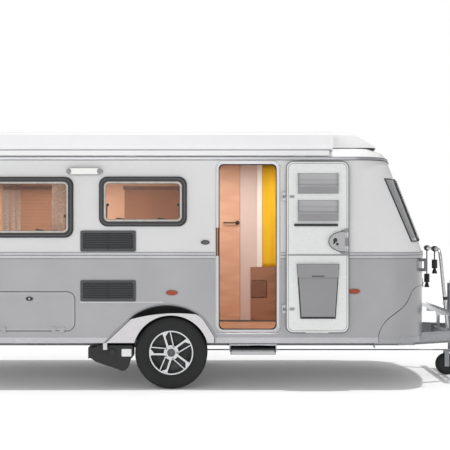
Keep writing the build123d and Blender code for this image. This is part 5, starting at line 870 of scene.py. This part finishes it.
two_windows = [(-1.146, -0.458, 1.462, 1.820), (-2.406, -1.445, 1.364, 1.818)]
doorway_hole, seat_window = (-0.20, 0.42, 0.3, 2.1), (0.454, 1.016, 1.462, 1.820)
for (side, label), third in zip(SIDES, (doorway_hole, seat_window)):
    holes = [*two_windows, third]
    lining(f"cabin_lining_{label}", side * 1.0175, -2.62, 1.06, 0.90, 1.99, holes, WOOD_LIGHT)
# Pleated blinds, drawn down over the far windows
BLIND_ROWS, BLIND_Y, BLIND_FOLD = 61, 1.009, 0.0015
for name, (side, x0, x1, z0, z1) in WINDOWS.items():
    if side > 0:
        z = np.linspace(z1 - FRAME_WIDTH, z0 + FRAME_WIDTH, BLIND_ROWS)[:, None]
        x = np.array([[x0 + FRAME_WIDTH, x1 - FRAME_WIDTH]])
        y = BLIND_Y + BLIND_FOLD * np.where(np.arange(BLIND_ROWS) % 2, 1, -1)[:, None]
        points = np.stack(np.broadcast_arrays(x, y, z), -1)
        blind = piece(f"pleated_blind_{name}", points, grid_faces(BLIND_ROWS, 2), BLIND, smooth=False)
        modified(blind, "SOLIDIFY", thickness=0.001, offset=0.0)
        slab(f"blind_cassette_{name}", x0 + 0.02, x1 - 0.02, 1.000, 1.016, z1 - 0.045, z1 - 0.010, WOOD_DARK_AND_RECESS_SHADE)
# Overhead lockers on the far side and over the beds
for k, (x0, x1) in enumerate(((-2.55, -1.95), (-1.94, -1.40))):
    slab(f"overhead_locker_{k}", x0, x1, 0.72, 1.012, 1.870, 1.985, WOOD_LIGHT, radius=0.02)
slab("kitchen_worktop", -1.332, -0.198, -1.015, -0.542, 1.3905, 1.3935, DARK_GREY)
for k, x in enumerate((-1.325, -1.045, -0.765, -0.485)):
    slab(f"kitchen_front_{k}", x + 0.004, x + 0.272, -0.560, -0.544, 0.56, 1.345, WOOD_LIGHT)
    slab(f"kitchen_handle_{k}", x + 0.09, x + 0.19, -0.544, -0.536, 1.29, 1.30, TRIM_AND_HIGHLIGHT)


def cushion(name, x0, x1, y0, y1, z0, z1, finish):
    """A crowned cushion: a closed grid over two angles, with piping round its middle.

    Each coordinate is a signed power of a cosine or sine: 0.22 squares the plan's corners off, 0.45 draws the
    sides in towards the top and 0.7 crowns the top itself.
    """
    rows, columns, corner, sides, crown, piping = 25, 48, 0.22, 0.45, 0.7, 0.004

    def soft(wave, power):
        return np.sign(wave) * np.abs(wave) ** power

    u = np.linspace(-np.pi / 2, np.pi / 2, rows)[:, None]
    v = np.linspace(-np.pi, np.pi, columns, endpoint=False)[None, :]
    x = (x0 + x1) / 2 + (x1 - x0) / 2 * soft(np.cos(u), sides) * soft(np.cos(v), corner)
    y = (y0 + y1) / 2 + (y1 - y0) / 2 * soft(np.cos(u), sides) * soft(np.sin(v), corner)
    z = (z0 + z1) / 2 + (z1 - z0) / 2 * soft(np.sin(u), crown) * np.ones_like(v)
    made = piece(name, np.stack([x, y, z], -1), grid_faces(rows, columns, wrap_columns=True), finish)
    seam = rounded_outline(x0 + piping, x1 - piping, y0 + piping, y1 - piping, 0.05)
    seam = np.hstack([seam, np.full((len(seam), 1), (z0 + z1) / 2)])
    swept(f"{name}_piping", seam, ring_section(piping, 6), DARK_GREY, closed=True)
    return set_outwards(made)


PAD_LOW, PAD_HIGH = 0.8805, 1.012
for k, (x0, x1) in enumerate(((-2.66, -2.04), (-2.03, -1.41))):
    for m, (y0, y1) in enumerate(((-1.005, -0.005), (0.005, 1.005))):
        cushion(f"bed_cushion_{k}_{m}", x0, x1, y0, y1, PAD_LOW, PAD_HIGH, CUSHION_CLOTH)
cushion("bed_head_cushion", -2.93, -2.67, -0.78, 0.78, PAD_LOW, PAD_HIGH, CUSHION_CLOTH)
for m, (y0, y1) in enumerate(((-1.005, -0.005), (0.005, 1.005))):
    cushion(f"seat_cushion_{m}", 0.565, 1.23, y0, y1, PAD_LOW, PAD_HIGH, CUSHION_CLOTH)
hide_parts("bench_cushions")

# Bellows of the lifting roof: a pleated wall round the hatch.
# Its rings step in by depth (1 - cos)/2 of the height and lie from the roof's rim to the lid.

HATCH_X, HATCH_ROWS, FOLDS, FOLD_DEPTH = -0.71, 25, 4, 0.014
ring = rounded_outline(-1.777, 0.357, -0.667, 0.667, 0.107, 10)
levels = np.linspace(2.1085, 2.2335, HATCH_ROWS)[:, None]
inwards = (HATCH_X, 0.0) - ring
inwards /= np.linalg.norm(inwards, axis=1)[:, None]
fold = 0.5 - 0.5 * np.cos(np.linspace(0, FOLDS * 2 * np.pi, HATCH_ROWS))
stack = ring[None] + inwards[None] * (FOLD_DEPTH * fold)[:, None, None]
points = np.stack(np.broadcast_arrays(stack[..., 0], stack[..., 1], levels), -1)
cells = grid_faces(HATCH_ROWS, len(ring), wrap_columns=True)
bellows = piece("pleated_bellows", points, cells, BELLOWS, None)
modified(bellows, "SOLIDIFY", thickness=0.0015, offset=0.0)
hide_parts("roof_bellows")
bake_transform(bellows)

# Floor, world, lights and camera

FLOOR, _, floor_shader = new_material("studio_floor_white")
set_inputs(floor_shader, Base_Color=linear("#FCFCFC"), Roughness=0.7)
# The floor also glows faintly: painted light that lifts the floor's shadows
set_inputs(floor_shader, Emission_Color=linear("#FFFFFF"), Emission_Strength=0.08)
floor_mesh = bpy.data.meshes.new("studio_floor")
floor_mesh.from_pydata([(-60, -30, 0), (60, -30, 0), (60, 60, 0), (-60, 60, 0)], [], [(0, 1, 2, 3)])
floor = bpy.data.objects.new("studio_floor", floor_mesh)
bpy.context.scene.collection.objects.link(floor)
floor.data.materials.append(FLOOR)

# The world is white where the camera sees it, past the panes too, and half as bright as a light
world = bpy.data.worlds.new("studio")
bpy.context.scene.world = world
world.use_nodes = True
sky = world.node_tree
sky.nodes.clear()
rays = add(sky, "ShaderNodeLightPath").outputs
seen = add(sky, "ShaderNodeMath", rays["Is Camera Ray"], rays["Is Transmission Ray"], operation="MAXIMUM")
soft = add(sky, "ShaderNodeBackground", Color=linear("#FFFFFF"), Strength=0.50)
white = add(sky, "ShaderNodeBackground", Color=linear("#FFFFFF"), Strength=1.0)
mixed = add(sky, "ShaderNodeMixShader", seen.outputs[0], soft.outputs[0], white.outputs[0])
add(sky, "ShaderNodeOutputWorld", Surface=mixed.outputs[0])


def area_lamp(name, place, target, size, watts, tint="#FFFFFF"):
    """A soft square lamp at a place, turned to a target."""
    lamp = bpy.data.lights.new(name, "AREA")
    lamp.shape = "RECTANGLE"
    lamp.size, lamp.size_y = size
    lamp.energy = watts
    lamp.color = linear(tint)[:3]
    holder = bpy.data.objects.new(name, lamp)
    holder.location = place
    way = np.array(target, float) - np.array(place, float)
    holder.rotation_euler = (
        math.atan2(math.hypot(way[0], way[1]), -way[2]),
        0.0,
        math.atan2(way[1], way[0]) - math.pi / 2,
    )
    bpy.context.scene.collection.objects.link(holder)


area_lamp("front_softbox", (-2.5, -12.0, 4.5), (-0.5, -1.0, 1.1), (8.0, 4.0), 270)
area_lamp("cabin_lamp_rear", (-1.75, 0.0, 1.975), (-1.75, 0.01, 0.0), (1.5, 1.0), 30, "#FFFAF4")
area_lamp("cabin_lamp_middle", (-0.10, -0.55, 2.012), (-0.10, -0.54, 0.0), (1.0, 0.4), 9, "#FFFAF4")
area_lamp("cabin_lamp_front", (0.75, 0.0, 1.975), (0.75, 0.01, 0.0), (0.5, 1.0), 6, "#FFFAF4")
SUN_TILT, SUN_WIDTH = math.radians(2.0), math.radians(2.0)
sun = bpy.data.lights.new("overhead_key", "SUN")
sun.energy, sun.angle = 1.7, SUN_WIDTH
sun_holder = bpy.data.objects.new("overhead_key", sun)
sun_holder.rotation_euler = (SUN_TILT, 0.0, 0.0)
bpy.context.scene.collection.objects.link(sun_holder)

# Camera square to the near side; its focal length in pixels of a frame 450 wide gives the lens
SENSOR, FOCAL_PIXELS, FRAME_PIXELS = 36.0, 1127, 450
camera_data = bpy.data.cameras.new("photo_camera")
camera_data.sensor_width = SENSOR
camera_data.lens = SENSOR * FOCAL_PIXELS / FRAME_PIXELS
camera_data.clip_end = 200.0
camera = bpy.data.objects.new("photo_camera", camera_data)
camera.location = (-0.089, -10.85, 1.437)
camera.rotation_euler = (math.radians(90), 0.0, 0.0)
bpy.context.scene.collection.objects.link(camera)
bpy.context.scene.camera = camera
bpy.context.scene.view_settings.view_transform = "Standard"
